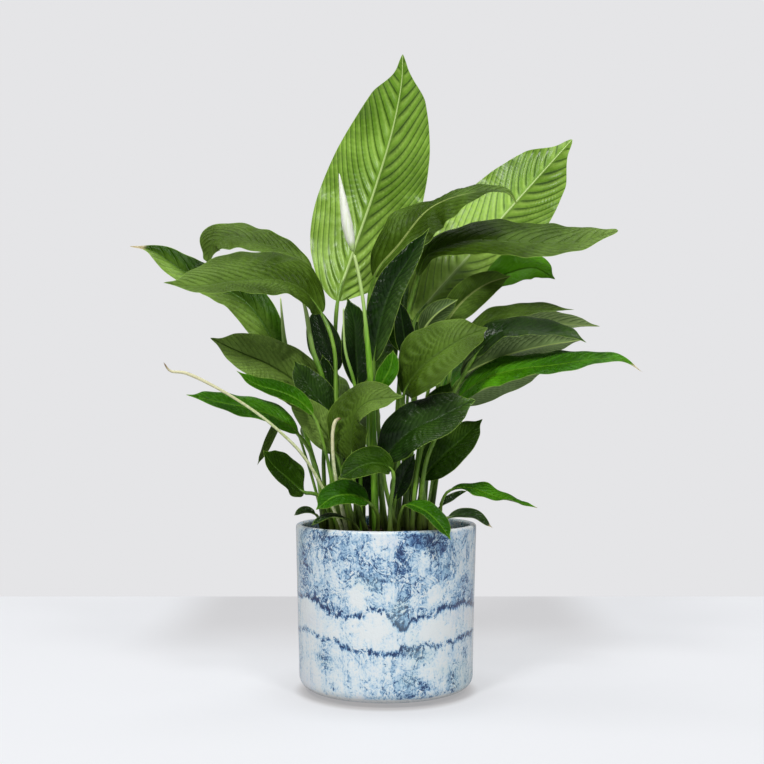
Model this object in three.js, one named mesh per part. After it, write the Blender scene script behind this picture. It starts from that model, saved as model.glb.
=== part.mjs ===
// Potted peace lily: a glazed cover pot, its soil, broad pointed leaves on long stalks, one closed
// white flower, three slender buds and two spent flower stalks.
// Millimetres, +Z up. The origin is the centre of the pot's base, on the surface it stands on.

import * as THREE from 'three';
import * as BufferGeometryUtils from 'three/addons/utils/BufferGeometryUtils.js';

// ---- Driving dimensions -------------------------------------------------------------------------

const POT_HEIGHT = 165;
const POT_TOP_RADIUS = 90;
const POT_BASE_RADIUS = 87;
const POT_WALL = 6;
const POT_FLOOR = 12;
const POT_EDGE_ROUND = 12;
const FOOT_RADIUS = 54;
const FOOT_HEIGHT = 4;
const POT_SIDES = 48;
const ROUND_STEPS = 4;
// the slant between the pot's wall and its floor, inside
const CORNER_WIDTH = 6;
const CORNER_HEIGHT = 8;

const SOIL_TOP = 156;
const SOIL_SIDES = 40;
const SOIL_CLEARANCE = 1;
const GAP = 0.3;
const ROOT_RISE = 6;

const STALK_RADIUS = 2.7;
const BLADE_HALF_THICKNESS = 0.7;
const TIP_RADIUS = 0.45;
const RING_POINTS = 8;
const STALK_STEPS = 3;
const BLADE_STEPS = 9;
const WIDEST_AT = 0.4;
const FOLD_DEGREES = 14;
// the share of a blade in which its round stalk flattens out, and how much thinner its tip is
const FLATTENS_BY = 0.12;
const TIP_THINNING = 0.4;
// how finely a path is measured
const PATH_SAMPLES = 400;

// ---- Materials ----------------------------------------------------------------------------------

const material = (color, roughness) => new THREE.MeshStandardMaterial({ color, roughness, metalness: 0 });

const glaze = material(0x9db8d6, 0.15);
const compost = material(0x2c211a, 0.95);
const leafGreen = material(0x3f7a22, 0.4);
const stalkGreen = material(0x8dac4a, 0.5);
const spatheWhite = material(0xf3f4ea, 0.5);
const witheredCream = material(0xd9dcae, 0.6);

// ---- The plan of the plant ----------------------------------------------------------------------
// Each leaf is one growth: it starts at its root in the soil, follows the stalk's points, then its
// blade's midrib from the blade's base to its tip. width is the blade's full width. Each entry of
// faces is a direction that the upper surface looks in, spread evenly from the blade's base to its
// tip. fold is how far each half of the blade rises from flat, in degrees, and hangs below it where
// fold is negative; it can be a row too. widest is where the blade is widest, as a share of its length.

const LEAVES = {
  // the two tallest leaves, standing at the back
  leaf_tall_left: {
    root: [-40, 2], stalk: [[-44, 8, 215], [-50, 14, 300]],
    blade: [[-49, 22, 387], [-37, 30, 428], [-11, 36, 505], [7, 32, 565], [16, 26, 612], [17, 20, 637]],
    width: 110, faces: [[-0.1, 1, 0]],
  },
  leaf_tall_right: {
    root: [24, 30], stalk: [[26, 34, 220], [28, 38, 300]],
    blade: [[29, 40, 368], [45, 44, 390], [89, 58, 441], [121, 76, 479], [154, 90, 517],
      [202, 104, 571]],
    width: 100, faces: [[-0.1, 1, -0.1]], widest: 0.44,
  },

  // arching leaves of the upper storey
  leaf_arch_high: {
    root: [-14, 8], stalk: [[-17, 12, 240], [-19, 12, 350]],
    blade: [[-12, 4, 409], [14, -4, 442], [43, -12, 475], [81, -22, 488], [117, -32, 487],
      [127, -34, 474]],
    width: 64, faces: [[-0.55, -0.8, 0.4], [-0.3, -0.7, 0.6], [0, -0.5, 0.85], [0.4, -0.5, 0.8]],
    fold: [22, 16, -22, 0, 12],
  },
  leaf_arch_left: {
    root: [-34, -20], stalk: [[-42, -30, 215], [-48, -36, 287], [-50, -36, 336]],
    blade: [[-62, -30, 370], [-80, -40, 392], [-101, -48, 400], [-138, -62, 398], [-181, -80, 391],
      [-204, -90, 393]],
    width: 84, faces: [[0.2, -0.6, 0.75], [-0.1, -0.57, 0.82]], fold: 12,
  },
  leaf_arch_right: {
    root: [6, 12], stalk: [[8, 12, 206], [12, 14, 287], [19, 16, 357]],
    blade: [[32, 14, 411], [42, 12, 433], [84, 0, 445], [131, -16, 441], [178, -34, 437],
      [221, -50, 447]],
    width: 64, faces: [[-0.4, -0.6, 0.6], [0, -0.55, 0.83]], fold: 8, widest: 0.58,
  },
  leaf_dark_upright: {
    root: [-2, -14], stalk: [[-8, -18, 220], [-13, -22, 280]],
    blade: [[-12, -26, 323], [-4, -30, 367], [7, -33, 398], [21, -36, 420], [42, -39, 452]],
    width: 34, faces: [[-0.3, -0.9, 0.2]],
  },
  leaf_twisted: {
    root: [-44, 22], stalk: [[-50, 26, 230], [-61, 32, 320], [-70, 36, 385]],
    blade: [[-76, 38, 418], [-97, 42, 438], [-130, 48, 450], [-160, 53, 458], [-179, 56, 452],
      [-187, 58, 432]],
    width: 40, faces: [[-0.2, -0.5, 0.85], [-0.3, -0.8, 0.5]], fold: 8, widest: 0.7,
  },
  leaf_far_left: {
    root: [-56, 16], stalk: [[-66, 24, 200], [-84, 34, 260]],
    blade: [[-103, 40, 315], [-120, 46, 355], [-142, 54, 386], [-169, 64, 404], [-213, 76, 424],
      [-250, 86, 448], [-275, 90, 453]],
    width: 44, faces: [[-0.3, -0.75, 0.6]], fold: 20,
  },

  // dark leaves in the heart of the plant
  leaf_dark_centre: {
    root: [-30, -2], stalk: [[-30, -2, 230]],
    blade: [[-28, 0, 299], [-30, 2, 337], [-32, 3, 366], [-39, 4, 390]],
    width: 34, faces: [[0.3, -1, 0]],
  },
  leaf_dark_left: {
    root: [-46, -6], stalk: [[-48, -2, 230]],
    blade: [[-50, 7, 315], [-58, 8, 339], [-66, 8, 361], [-72, 9, 381]],
    width: 38, faces: [[-0.5, -0.8, 0.3]],
  },
  leaf_spike: {
    root: [-54, -14], stalk: [[-54, -9, 230]],
    blade: [[-53, -6, 285], [-58, -6, 309], [-63, -5, 332]],
    width: 18, faces: [[0, -1, 0.1]],
  },
  leaf_inner_dark: {
    root: [12, -6], stalk: [[18, -8, 240]],
    blade: [[22, -8, 324], [18, -8, 351], [13, -6, 386]],
    width: 22, faces: [[0.2, -0.9, 0.2]],
  },
  leaf_inner_bright: {
    root: [0, -30], stalk: [[-6, -40, 230]],
    blade: [[-6, -44, 296], [4, -46, 317], [7, -45, 334]],
    width: 20, faces: [[0, -0.9, 0.4]],
  },
  leaf_inner_right: {
    root: [25, -35], stalk: [[29, -38, 210]],
    blade: [[38, -38, 252], [47, -38, 272], [56, -38, 290], [62, -38, 304]],
    width: 34, faces: [[0, -1, 0]], fold: 0,
  },
  leaf_inner_low: {
    root: [-22, -7], stalk: [[-22, -9, 170]],
    blade: [[-22, -9, 182], [-25, -9, 206], [-29, -9, 232], [-31, -9, 254]],
    width: 34, faces: [[0, -1, 0]], fold: 0,
  },
  leaf_inner_pale: {
    root: [16, 5], stalk: [[28, 1, 270]],
    blade: [[36, -5, 352], [48, -8, 370], [71, -10, 386]],
    width: 24, faces: [[0.2, 0.85, 0.4]],
  },

  // left side, from the middle down to the rim
  leaf_mid_left: {
    root: [-60, -2], stalk: [[-62, 0, 220]],
    blade: [[-64, 0, 275], [-85, -4, 301], [-114, -14, 321], [-142, -26, 333], [-169, -38, 346]],
    width: 60, faces: [[0.1, -0.9, 0.5]], fold: 10,
  },
  leaf_mid_dark: {
    root: [-46, -24], stalk: [[-50, -25, 210]],
    blade: [[-50, -27, 267], [-66, -29, 288], [-80, -30, 308], [-89, -30, 325]],
    width: 36, faces: [[0.2, -0.9, 0.4]],
  },
  leaf_low_bright: {
    root: [-46, -34], stalk: [[-54, -42, 219], [-61, -48, 250]],
    blade: [[-69, -53, 272], [-83, -57, 286], [-97, -61, 293], [-122, -70, 301], [-139, -76, 313]],
    width: 22, faces: [[0, -0.75, 0.66]],
  },
  leaf_mid_olive: {
    root: [-30, -33], stalk: [[-39, -38, 200]],
    blade: [[-47, -38, 234], [-62, -39, 260], [-79, -43, 278], [-94, -46, 290]],
    width: 32, faces: [[-0.1, -0.95, 0.2]], fold: 2,
  },
  leaf_pointed: {
    root: [-62, -12], stalk: [[-69, -18, 223]],
    blade: [[-86, -22, 254], [-108, -28, 270], [-131, -38, 278], [-158, -50, 284], [-188, -64, 291]],
    width: 42, faces: [[0, -0.55, 0.83]], fold: 6,
  },
  leaf_hanging: {
    root: [-62, 6], stalk: [[-80, 6, 230], [-92, 3, 262]],
    blade: [[-101, 0, 269], [-109, 0, 259], [-117, 0, 243], [-128, 0, 222]],
    width: 14, faces: [[-0.6, -0.7, 0.3]],
  },
  leaf_low_dark: {
    root: [-52, -26], stalk: [[-59, -42, 190], [-68, -50, 197]],
    blade: [[-77, -56, 199], [-93, -64, 213], [-106, -72, 226], [-114, -78, 239]],
    width: 50, faces: [[0.3, -0.6, 0.75]],
  },
  leaf_rim_left: {
    root: [-63, -28], stalk: [[-65, -29, 170]],
    blade: [[-68, -30, 176], [-78, -33, 179], [-89, -35, 175]],
    width: 14, faces: [[0, -0.4, 0.9]],
  },
  leaf_rim_front_left: {
    root: [-26, -54], stalk: [[-30, -58, 169]],
    blade: [[-38, -63, 175], [-54, -73, 177], [-69, -83, 170]],
    width: 13, faces: [[0, -0.4, 0.9]],
  },

  // front
  leaf_front_low: {
    root: [-8, -46], stalk: [[-8, -56, 178]],
    blade: [[-16, -66, 190], [-31, -72, 197], [-48, -76, 196], [-65, -80, 184]],
    width: 32, faces: [[0, -0.7, 0.7]],
  },
  leaf_front_curled: {
    root: [-20, -38], stalk: [[-28, -44, 190]],
    blade: [[-32, -50, 227], [-33, -54, 253], [-28, -58, 274], [-16, -64, 285], [0, -67, 288],
      [16, -68, 289]],
    width: 56, faces: [[-0.45, -0.65, 0.6]],
  },
  leaf_front_cup: {
    root: [4, -58], stalk: [[4, -60, 185]],
    blade: [[6, -66, 220], [-7, -74, 227], [-22, -80, 225], [-44, -84, 213]],
    width: 36, faces: [[0, -0.75, 0.65]],
  },
  leaf_front_right: {
    root: [10, -40], stalk: [[5, -44, 180]],
    blade: [[-2, -46, 224], [9, -50, 243], [27, -57, 259], [47, -63, 268], [68, -65, 279],
      [84, -65, 286]],
    width: 52, faces: [[-0.15, -0.85, 0.5]], widest: 0.46,
  },
  leaf_broad_centre: {
    root: [20, -18], stalk: [[20, -22, 220], [18, -27, 270]],
    blade: [[17, -36, 292], [32, -54, 315], [54, -60, 333], [75, -58, 346], [97, -48, 355]],
    width: 66, faces: [[-0.2, -0.8, 0.55]],
  },
  leaf_narrow_dark: {
    root: [6, -32], stalk: [[7, -33, 170]],
    blade: [[9, -34, 190], [16, -34, 211], [28, -36, 235]],
    width: 20, faces: [[0, -0.9, 0.3]],
  },

  // right side, the stack of leaves in the middle
  leaf_right_small: {
    root: [44, 14], stalk: [[56, 22, 240], [68, 27, 330], [84, 27, 380]],
    blade: [[103, 25, 404], [127, 24, 417], [151, 22, 421], [171, 18, 409]],
    width: 40, faces: [[0, -0.8, 0.5]],
  },
  leaf_right_olive: {
    root: [24, 8], stalk: [[33, 6, 240], [45, 4, 310]],
    blade: [[59, 4, 362], [80, 8, 389], [102, 11, 404], [126, 14, 412]],
    width: 34, faces: [[0.3, -0.8, 0.1]],
  },
  leaf_right_top: {
    root: [34, 14], stalk: [[38, 16, 230], [55, 17, 300]],
    blade: [[77, 12, 343], [106, 2, 368], [144, -4, 375], [186, -8, 376]],
    width: 32, faces: [[0, -0.5, 0.85]],
  },
  leaf_right_pale: {
    root: [38, 24], stalk: [[44, 32, 240], [56, 38, 310]],
    blade: [[75, 40, 343], [123, 50, 361], [177, 64, 368], [227, 76, 366]],
    width: 40, faces: [[0, 0.5, 0.85]],
  },
  leaf_right_dark: {
    root: [32, -22], stalk: [[38, -42, 225], [47, -44, 250], [60, -44, 284], [72, -43, 306]],
    blade: [[85, -38, 328], [109, -40, 351], [147, -48, 351], [174, -56, 348], [189, -60, 340]],
    width: 44, faces: [[0, -0.5, 0.85]],
  },
  leaf_right_grey: {
    root: [38, 4], stalk: [[42, 6, 220], [56, 6, 275]],
    blade: [[75, 4, 309], [113, 0, 329], [153, -6, 340], [193, -12, 346]],
    width: 50, faces: [[0, 0.65, 0.75]],
  },
  leaf_right_long: {
    root: [36, -4], stalk: [[38, -8, 210], [52, -16, 260]],
    blade: [[69, -28, 286], [92, -36, 305], [123, -46, 315], [159, -60, 319], [199, -76, 324],
      [220, -84, 322], [235, -90, 311]],
    width: 54, faces: [[0, -0.5, 0.85]], fold: 6, widest: 0.33,
  },
  leaf_right_under: {
    root: [26, 0], stalk: [[32, -2, 210], [50, -6, 250]],
    blade: [[68, -10, 282], [92, -10, 296], [117, -10, 305], [156, -10, 315]],
    width: 38, faces: [[0, 0.85, 0.5]],
  },
  leaf_right_broad_low: {
    root: [44, -16], stalk: [[40, -22, 180]],
    blade: [[36, -26, 208], [54, -28, 231], [74, -27, 249], [94, -24, 268]],
    width: 40, faces: [[0.1, -0.85, 0.5]],
  },

  // right side, low over the rim
  leaf_low_right: {
    root: [54, -10], stalk: [[55, -18, 188]],
    blade: [[63, -20, 199], [82, -24, 201], [103, -30, 194], [124, -38, 189], [145, -46, 183]],
    width: 18, faces: [[0, -0.5, 0.85]],
  },
  leaf_low_thin: {
    root: [52, 2], stalk: [[52, 5, 169]],
    blade: [[54, 8, 180], [66, 12, 189], [82, 13, 196]],
    width: 10, faces: [[0, -0.5, 0.8]],
  },
  leaf_rim_right: {
    root: [46, -30], stalk: [[48, -30, 167]],
    blade: [[60, -30, 173], [84, -28, 175], [104, -26, 162]],
    width: 16, faces: [[0, -0.5, 0.85]],
  },
  leaf_rim_front_right: {
    root: [12, -50], stalk: [[13, -54, 174]],
    blade: [[18, -60, 187], [36, -76, 183], [49, -90, 172], [59, -98, 158]],
    width: 26, faces: [[0.3, -0.6, 0.75]],
  },

  // the far side of the plant
  leaf_back_middle: {
    root: [-4, 36], stalk: [[-6, 52, 230]],
    blade: [[-10, 70, 295], [-14, 104, 345], [-16, 142, 368], [-18, 182, 362]],
    width: 54, faces: [[0, -0.8, 0.5], [0, 0.2, 1], [0, 0.5, 0.8]],
  },
  leaf_back_left: {
    root: [-26, 34], stalk: [[-40, 56, 225]],
    blade: [[-52, 76, 270], [-66, 110, 305], [-85, 145, 318], [-100, 180, 305]],
    width: 50, faces: [[0.3, -0.5, 0.8], [-0.2, 0.3, 0.9]],
  },
  leaf_back_right: {
    root: [30, 40], stalk: [[46, 58, 230]],
    blade: [[62, 80, 290], [84, 112, 325], [108, 146, 335], [128, 180, 320]],
    width: 52, faces: [[-0.3, -0.5, 0.8], [0.3, 0.3, 0.9]],
  },
  leaf_back_tall: {
    root: [12, 42], stalk: [[14, 64, 260]],
    blade: [[16, 86, 340], [20, 112, 400], [26, 150, 440], [30, 190, 450]],
    width: 56, faces: [[0, -0.9, 0.4], [0, 0.1, 1]],
  },
  leaf_back_low_middle: {
    root: [-12, 46], stalk: [[-16, 68, 200]],
    blade: [[-20, 90, 245], [-30, 125, 270], [-36, 160, 272], [-40, 190, 255]],
    width: 46, faces: [[0, -0.4, 0.9], [0, 0.4, 0.9]],
  },
  leaf_back_low_right: {
    root: [42, 36], stalk: [[48, 66, 195]],
    blade: [[54, 92, 225], [66, 125, 244], [78, 155, 242], [86, 180, 224]],
    width: 42, faces: [[0, -0.4, 0.9], [0.2, 0.4, 0.9]],
  },
  leaf_back_low_left: {
    root: [-40, 42], stalk: [[-50, 64, 195]],
    blade: [[-58, 86, 230], [-70, 118, 252], [-82, 148, 254], [-90, 172, 240]],
    width: 40, faces: [[0, -0.4, 0.9], [-0.2, 0.4, 0.9]],
  },
};

// Round growths with no blade: radii runs evenly from the first point to the last.
const STEMS = {
  flower_stalk: {
    points: [[-10, -32], [-12, -32, 240], [-14, -36, 296], [-17, -42, 334], [-22, -42, 382], [-27, -40, 411],
      [-31, -40, 427]],
    radii: [3.6, 3.6, 3.4, 3.2, 1.8, 1.6, 1.6], colour: stalkGreen,
  },
  flower_spathe: {
    points: [[-31.2, -40, 427.8], [-34, -40, 440], [-37, -40, 454], [-41, -40, 478], [-45, -40, 504]],
    radii: [1.6, 4.4, 5.4, 3.6, 0.5], colour: spatheWhite,
  },
  bud_far_left: {
    points: [[-54, 5], [-72, 16, 220], [-98, 22, 320], [-103, 22, 348], [-107, 22, 392]],
    radii: [2, 2, 2.4, 2.8, 0.6], colour: stalkGreen,
  },
  bud_left: {
    points: [[-50, -18], [-54, -18, 267], [-62, -16, 308], [-72, -14, 336], [-79, -12, 375], [-84, -12, 392]],
    radii: [2, 2, 2, 2.6, 2.2, 0.6], colour: stalkGreen,
  },
  bud_centre: {
    points: [[-24, -14], [-30, -14, 297], [-40, -14, 336], [-42, -14, 378]],
    radii: [1.8, 1.8, 1.6, 0.6], colour: stalkGreen,
  },
  spent_flower: {
    points: [[-42, -42], [-76, -62, 231], [-99, -68, 256], [-125, -72, 277], [-159, -73, 298], [-187, -74, 311],
      [-201, -74, 313], [-207, -74, 321]],
    radii: [1.7, 1.6, 1.5, 1.3, 1.3, 1.6, 1.2, 0.5], colour: witheredCream,
  },
  spent_stalk: {
    points: [[-38, -46], [-47, -52, 208], [-50, -56, 232], [-50, -57, 258], [-47, -57, 267], [-42, -57, 269]],
    radii: [2, 1.9, 1.7, 1.6, 1.8, 1.2], colour: witheredCream,
  },
};

// ---- Solids -------------------------------------------------------------------------------------

// A closed skin over a row of rings, each with the same number of points, capped at both ends.
function skin(rings) {
  const count = rings[0].length;
  const faces = [];
  for (let i = 0; i + 1 < rings.length; i++) {
    for (let k = 0; k < count; k++) {
      const here = i * count + k;
      const next = i * count + (k + 1) % count;
      faces.push(here, here + count, next, next, here + count, next + count);
    }
  }
  const last = (rings.length - 1) * count;
  for (let k = 1; k + 1 < count; k++) {
    faces.push(0, k, k + 1, last, last + k + 1, last + k);
  }
  const geometry = new THREE.BufferGeometry();
  const places = rings.flat().flatMap((point) => point.toArray());
  geometry.setAttribute('position', new THREE.Float32BufferAttribute(places, 3));
  geometry.setIndex(faces);
  geometry.computeVertexNormals();
  return geometry;
}

// The value at share, from 0 to 1, of a row of vectors or numbers spread evenly.
function between(row, share, mix) {
  const place = share * (row.length - 1);
  const first = Math.min(Math.floor(place), row.length - 2);
  return row.length === 1 ? row[0] : mix(row[first], row[first + 1], place - first);
}

const mixNumbers = (a, b, part) => a + (b - a) * part;
const mixVectors = (a, b, part) => a.clone().lerp(b, part);

// Half the blade's width, as a share of its widest: pointed at both ends, widest part way up.
function outline(along, widest) {
  const rise = 0.7;
  const fall = rise * (1 - widest) / widest;
  const most = widest ** rise * (1 - widest) ** fall;
  return along ** rise * (1 - along) ** fall / most;
}

function leafGeometry({
  root, stalk, blade, width, faces, fold = FOLD_DEGREES, widest = WIDEST_AT,
}) {
  const start = [[...root, SOIL_TOP + GAP], [...root, SOIL_TOP + ROOT_RISE]];
  const points = [...start, ...stalk, ...blade].map((p) => new THREE.Vector3(...p));
  const path = new THREE.CatmullRomCurve3(points);
  const lengths = path.getLengths(PATH_SAMPLES);
  const baseSample = Math.round(PATH_SAMPLES * (start.length + stalk.length) / (points.length - 1));
  const bladeStart = lengths[baseSample] / lengths[PATH_SAMPLES];
  const looks = faces.map((f) => new THREE.Vector3(...f));
  const folds = [fold].flat();
  const stations = [];
  for (let i = 0; i < STALK_STEPS; i++) {
    stations.push(bladeStart * i / STALK_STEPS);
  }
  for (let i = 0; i <= BLADE_STEPS; i++) {
    stations.push(mixNumbers(bladeStart, 1, i / BLADE_STEPS));
  }
  const rings = stations.map((at) => {
    const along = Math.max(0, (at - bladeStart) / (1 - bladeStart));
    const flat = THREE.MathUtils.smoothstep(along, 0, FLATTENS_BY);
    const rise = THREE.MathUtils.degToRad(between(folds, along, mixNumbers));
    const tangent = path.getTangentAt(at);
    const up = between(looks, along, mixVectors).clone().projectOnPlane(tangent).normalize();
    const across = tangent.clone().cross(up);
    const thin = 1 - TIP_THINNING * along ** 4;
    const thick = mixNumbers(STALK_RADIUS, BLADE_HALF_THICKNESS, flat) * thin;
    const wide = Math.max(along < 0.5 ? STALK_RADIUS : TIP_RADIUS, outline(along, widest) * width / 2);
    const centre = path.getPointAt(at);
    return Array.from({ length: RING_POINTS }, (_, k) => {
      const side = Math.cos(2 * Math.PI * k / RING_POINTS);
      const depth = Math.sin(2 * Math.PI * k / RING_POINTS);
      const lift = flat * wide * Math.abs(side) * Math.sin(rise);
      return centre.clone()
        .addScaledVector(across, side * wide * mixNumbers(1, Math.cos(rise), flat))
        .addScaledVector(up, lift + depth * thick);
    });
  });
  return skin(rings);
}

function stemGeometry({ points, radii }) {
  const [[x, y, z]] = points;
  const start = z ? [] : [[x, y, SOIL_TOP + GAP], [x, y, SOIL_TOP + ROOT_RISE]];
  const places = [...start, ...points.slice(z ? 0 : 1)].map((p) => new THREE.Vector3(...p));
  const path = new THREE.CatmullRomCurve3(places);
  const steps = 2 * (places.length - 1);
  const rings = Array.from({ length: steps + 1 }, (_, i) => {
    const tangent = path.getTangent(i / steps);
    const up = new THREE.Vector3(0, -1, 0).projectOnPlane(tangent).normalize();
    const across = tangent.clone().cross(up);
    const radius = between(radii, i / steps, mixNumbers);
    const centre = path.getPoint(i / steps);
    return Array.from({ length: RING_POINTS }, (_, k) => centre.clone()
      .addScaledVector(across, radius * Math.cos(2 * Math.PI * k / RING_POINTS))
      .addScaledVector(up, radius * Math.sin(2 * Math.PI * k / RING_POINTS)));
  });
  return skin(rings);
}

// A solid of revolution from its outline, given from the axis at the bottom to the axis at the top.
function turned(profile, sides) {
  const lathe = new THREE.LatheGeometry(profile, sides);
  lathe.deleteAttribute('normal');
  lathe.deleteAttribute('uv');
  const merged = BufferGeometryUtils.mergeVertices(lathe);
  const index = Array.from(merged.index.array);
  const kept = [];
  for (let i = 0; i < index.length; i += 3) {
    const [a, b, c] = index.slice(i, i + 3);
    if (a !== b && b !== c && a !== c) {
      kept.push(a, b, c);
    }
  }
  merged.setIndex(kept);
  merged.rotateX(Math.PI / 2);
  merged.computeVertexNormals();
  return merged;
}

const innerRadius = (height) => mixNumbers(POT_BASE_RADIUS, POT_TOP_RADIUS, height / POT_HEIGHT) - POT_WALL;

function potGeometry() {
  const rim = POT_WALL / 2;
  const profile = [
    [0, 0], [FOOT_RADIUS - 1, 0], [FOOT_RADIUS, 1], [FOOT_RADIUS, FOOT_HEIGHT],
    [POT_BASE_RADIUS - POT_EDGE_ROUND, FOOT_HEIGHT],
  ];
  for (let i = 1; i <= ROUND_STEPS; i++) {
    const turn = i / ROUND_STEPS * Math.PI / 2;
    profile.push([
      POT_BASE_RADIUS - POT_EDGE_ROUND + POT_EDGE_ROUND * Math.sin(turn),
      FOOT_HEIGHT + POT_EDGE_ROUND - POT_EDGE_ROUND * Math.cos(turn),
    ]);
  }
  for (let i = 0; i <= ROUND_STEPS; i++) {
    const turn = i / ROUND_STEPS * Math.PI;
    profile.push([POT_TOP_RADIUS - rim + rim * Math.cos(turn), POT_HEIGHT - rim + rim * Math.sin(turn)]);
  }
  profile.push([innerRadius(POT_FLOOR + CORNER_HEIGHT), POT_FLOOR + CORNER_HEIGHT]);
  profile.push([innerRadius(POT_FLOOR) - CORNER_WIDTH, POT_FLOOR]);
  profile.push([0, POT_FLOOR]);
  return turned(profile.map(([r, z]) => new THREE.Vector2(r, z)), POT_SIDES);
}

function soilGeometry() {
  const cornerTop = POT_FLOOR + CORNER_HEIGHT + SOIL_CLEARANCE;
  const profile = [
    [0, POT_FLOOR + GAP],
    [innerRadius(POT_FLOOR) - CORNER_WIDTH - SOIL_CLEARANCE, POT_FLOOR + GAP],
    [innerRadius(cornerTop) - SOIL_CLEARANCE, cornerTop],
    [innerRadius(SOIL_TOP) - SOIL_CLEARANCE, SOIL_TOP],
    [0, SOIL_TOP],
  ];
  return turned(profile.map(([r, z]) => new THREE.Vector2(r, z)), SOIL_SIDES);
}

// ---- Assembly -----------------------------------------------------------------------------------

const plant = new THREE.Group();

function place(name, geometry, look) {
  const mesh = new THREE.Mesh(geometry, look);
  mesh.name = name;
  plant.add(mesh);
}

place('pot', potGeometry(), glaze);
place('soil', soilGeometry(), compost);
for (const [name, leaf] of Object.entries(LEAVES)) {
  place(name, leafGeometry(leaf), leafGreen);
}
for (const [name, stem] of Object.entries(STEMS)) {
  place(name, stemGeometry(stem), stem.colour);
}

export default plant;
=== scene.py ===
"""The looks of a potted peace lily: glazed cover pot, compost, broad veined leaves, one closed white
flower, slender buds and spent stalks. Metres, +Z up; the plant's plan is in millimetres."""

import math
import random

import bmesh
import bpy
import numpy as np
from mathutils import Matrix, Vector, noise


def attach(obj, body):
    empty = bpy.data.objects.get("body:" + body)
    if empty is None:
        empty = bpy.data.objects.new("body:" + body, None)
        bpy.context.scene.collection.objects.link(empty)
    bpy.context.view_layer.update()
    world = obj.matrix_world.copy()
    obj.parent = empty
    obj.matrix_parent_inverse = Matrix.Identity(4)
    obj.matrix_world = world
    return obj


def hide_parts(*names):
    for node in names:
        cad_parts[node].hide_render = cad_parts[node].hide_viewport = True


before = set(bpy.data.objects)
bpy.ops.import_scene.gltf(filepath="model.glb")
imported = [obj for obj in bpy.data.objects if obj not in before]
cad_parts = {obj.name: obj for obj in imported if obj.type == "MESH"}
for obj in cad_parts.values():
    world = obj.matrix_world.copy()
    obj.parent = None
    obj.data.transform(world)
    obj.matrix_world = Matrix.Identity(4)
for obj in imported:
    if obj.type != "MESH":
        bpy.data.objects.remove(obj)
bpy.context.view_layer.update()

MM = 0.001
TURN = 2 * math.pi


# ---- Camera, stage and light ---------------------------------------------------------------------

CAMERA_PLACE = (0, -1.15, 0.27)
CAMERA_LENS = 54.5
SENSOR_WIDTH = 36
CAMERA_SHIFT = (-0.0052, 0.0458)
WALL_DISTANCE = 0.59
LIT_PLACE = (0, 0, 0.3)

camera_data = bpy.data.cameras.new("camera")
camera_data.lens = CAMERA_LENS
camera_data.sensor_width = SENSOR_WIDTH
camera_data.shift_x, camera_data.shift_y = CAMERA_SHIFT
camera = bpy.data.objects.new("camera", camera_data)
camera.location = CAMERA_PLACE
camera.rotation_euler = (math.radians(90), 0, 0)
bpy.context.scene.collection.objects.link(camera)
bpy.context.scene.camera = camera
bpy.context.scene.view_settings.view_transform = "Standard"


def soft_light(name, place, size, power):
    """A square white soft box that faces the middle of the plant."""
    data = bpy.data.lights.new(name, "AREA")
    data.shape = "SQUARE"
    data.size = size
    data.energy = power
    light = bpy.data.objects.new(name, data)
    light.location = place
    light.rotation_mode = "QUATERNION"
    light.rotation_quaternion = (Vector(LIT_PLACE) - Vector(place)).to_track_quat("-Z", "Y")
    bpy.context.scene.collection.objects.link(light)


soft_light("front_left_box", (-1.25, -2.35, 2.75), 0.6, 74)
soft_light("front_right_box", (1.25, -2.35, 2.75), 0.6, 54)
soft_light("overhead_box", (-0.35, 0.35, 2.8), 1.2, 30)


# ---- Node trees ----------------------------------------------------------------------------------

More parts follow.
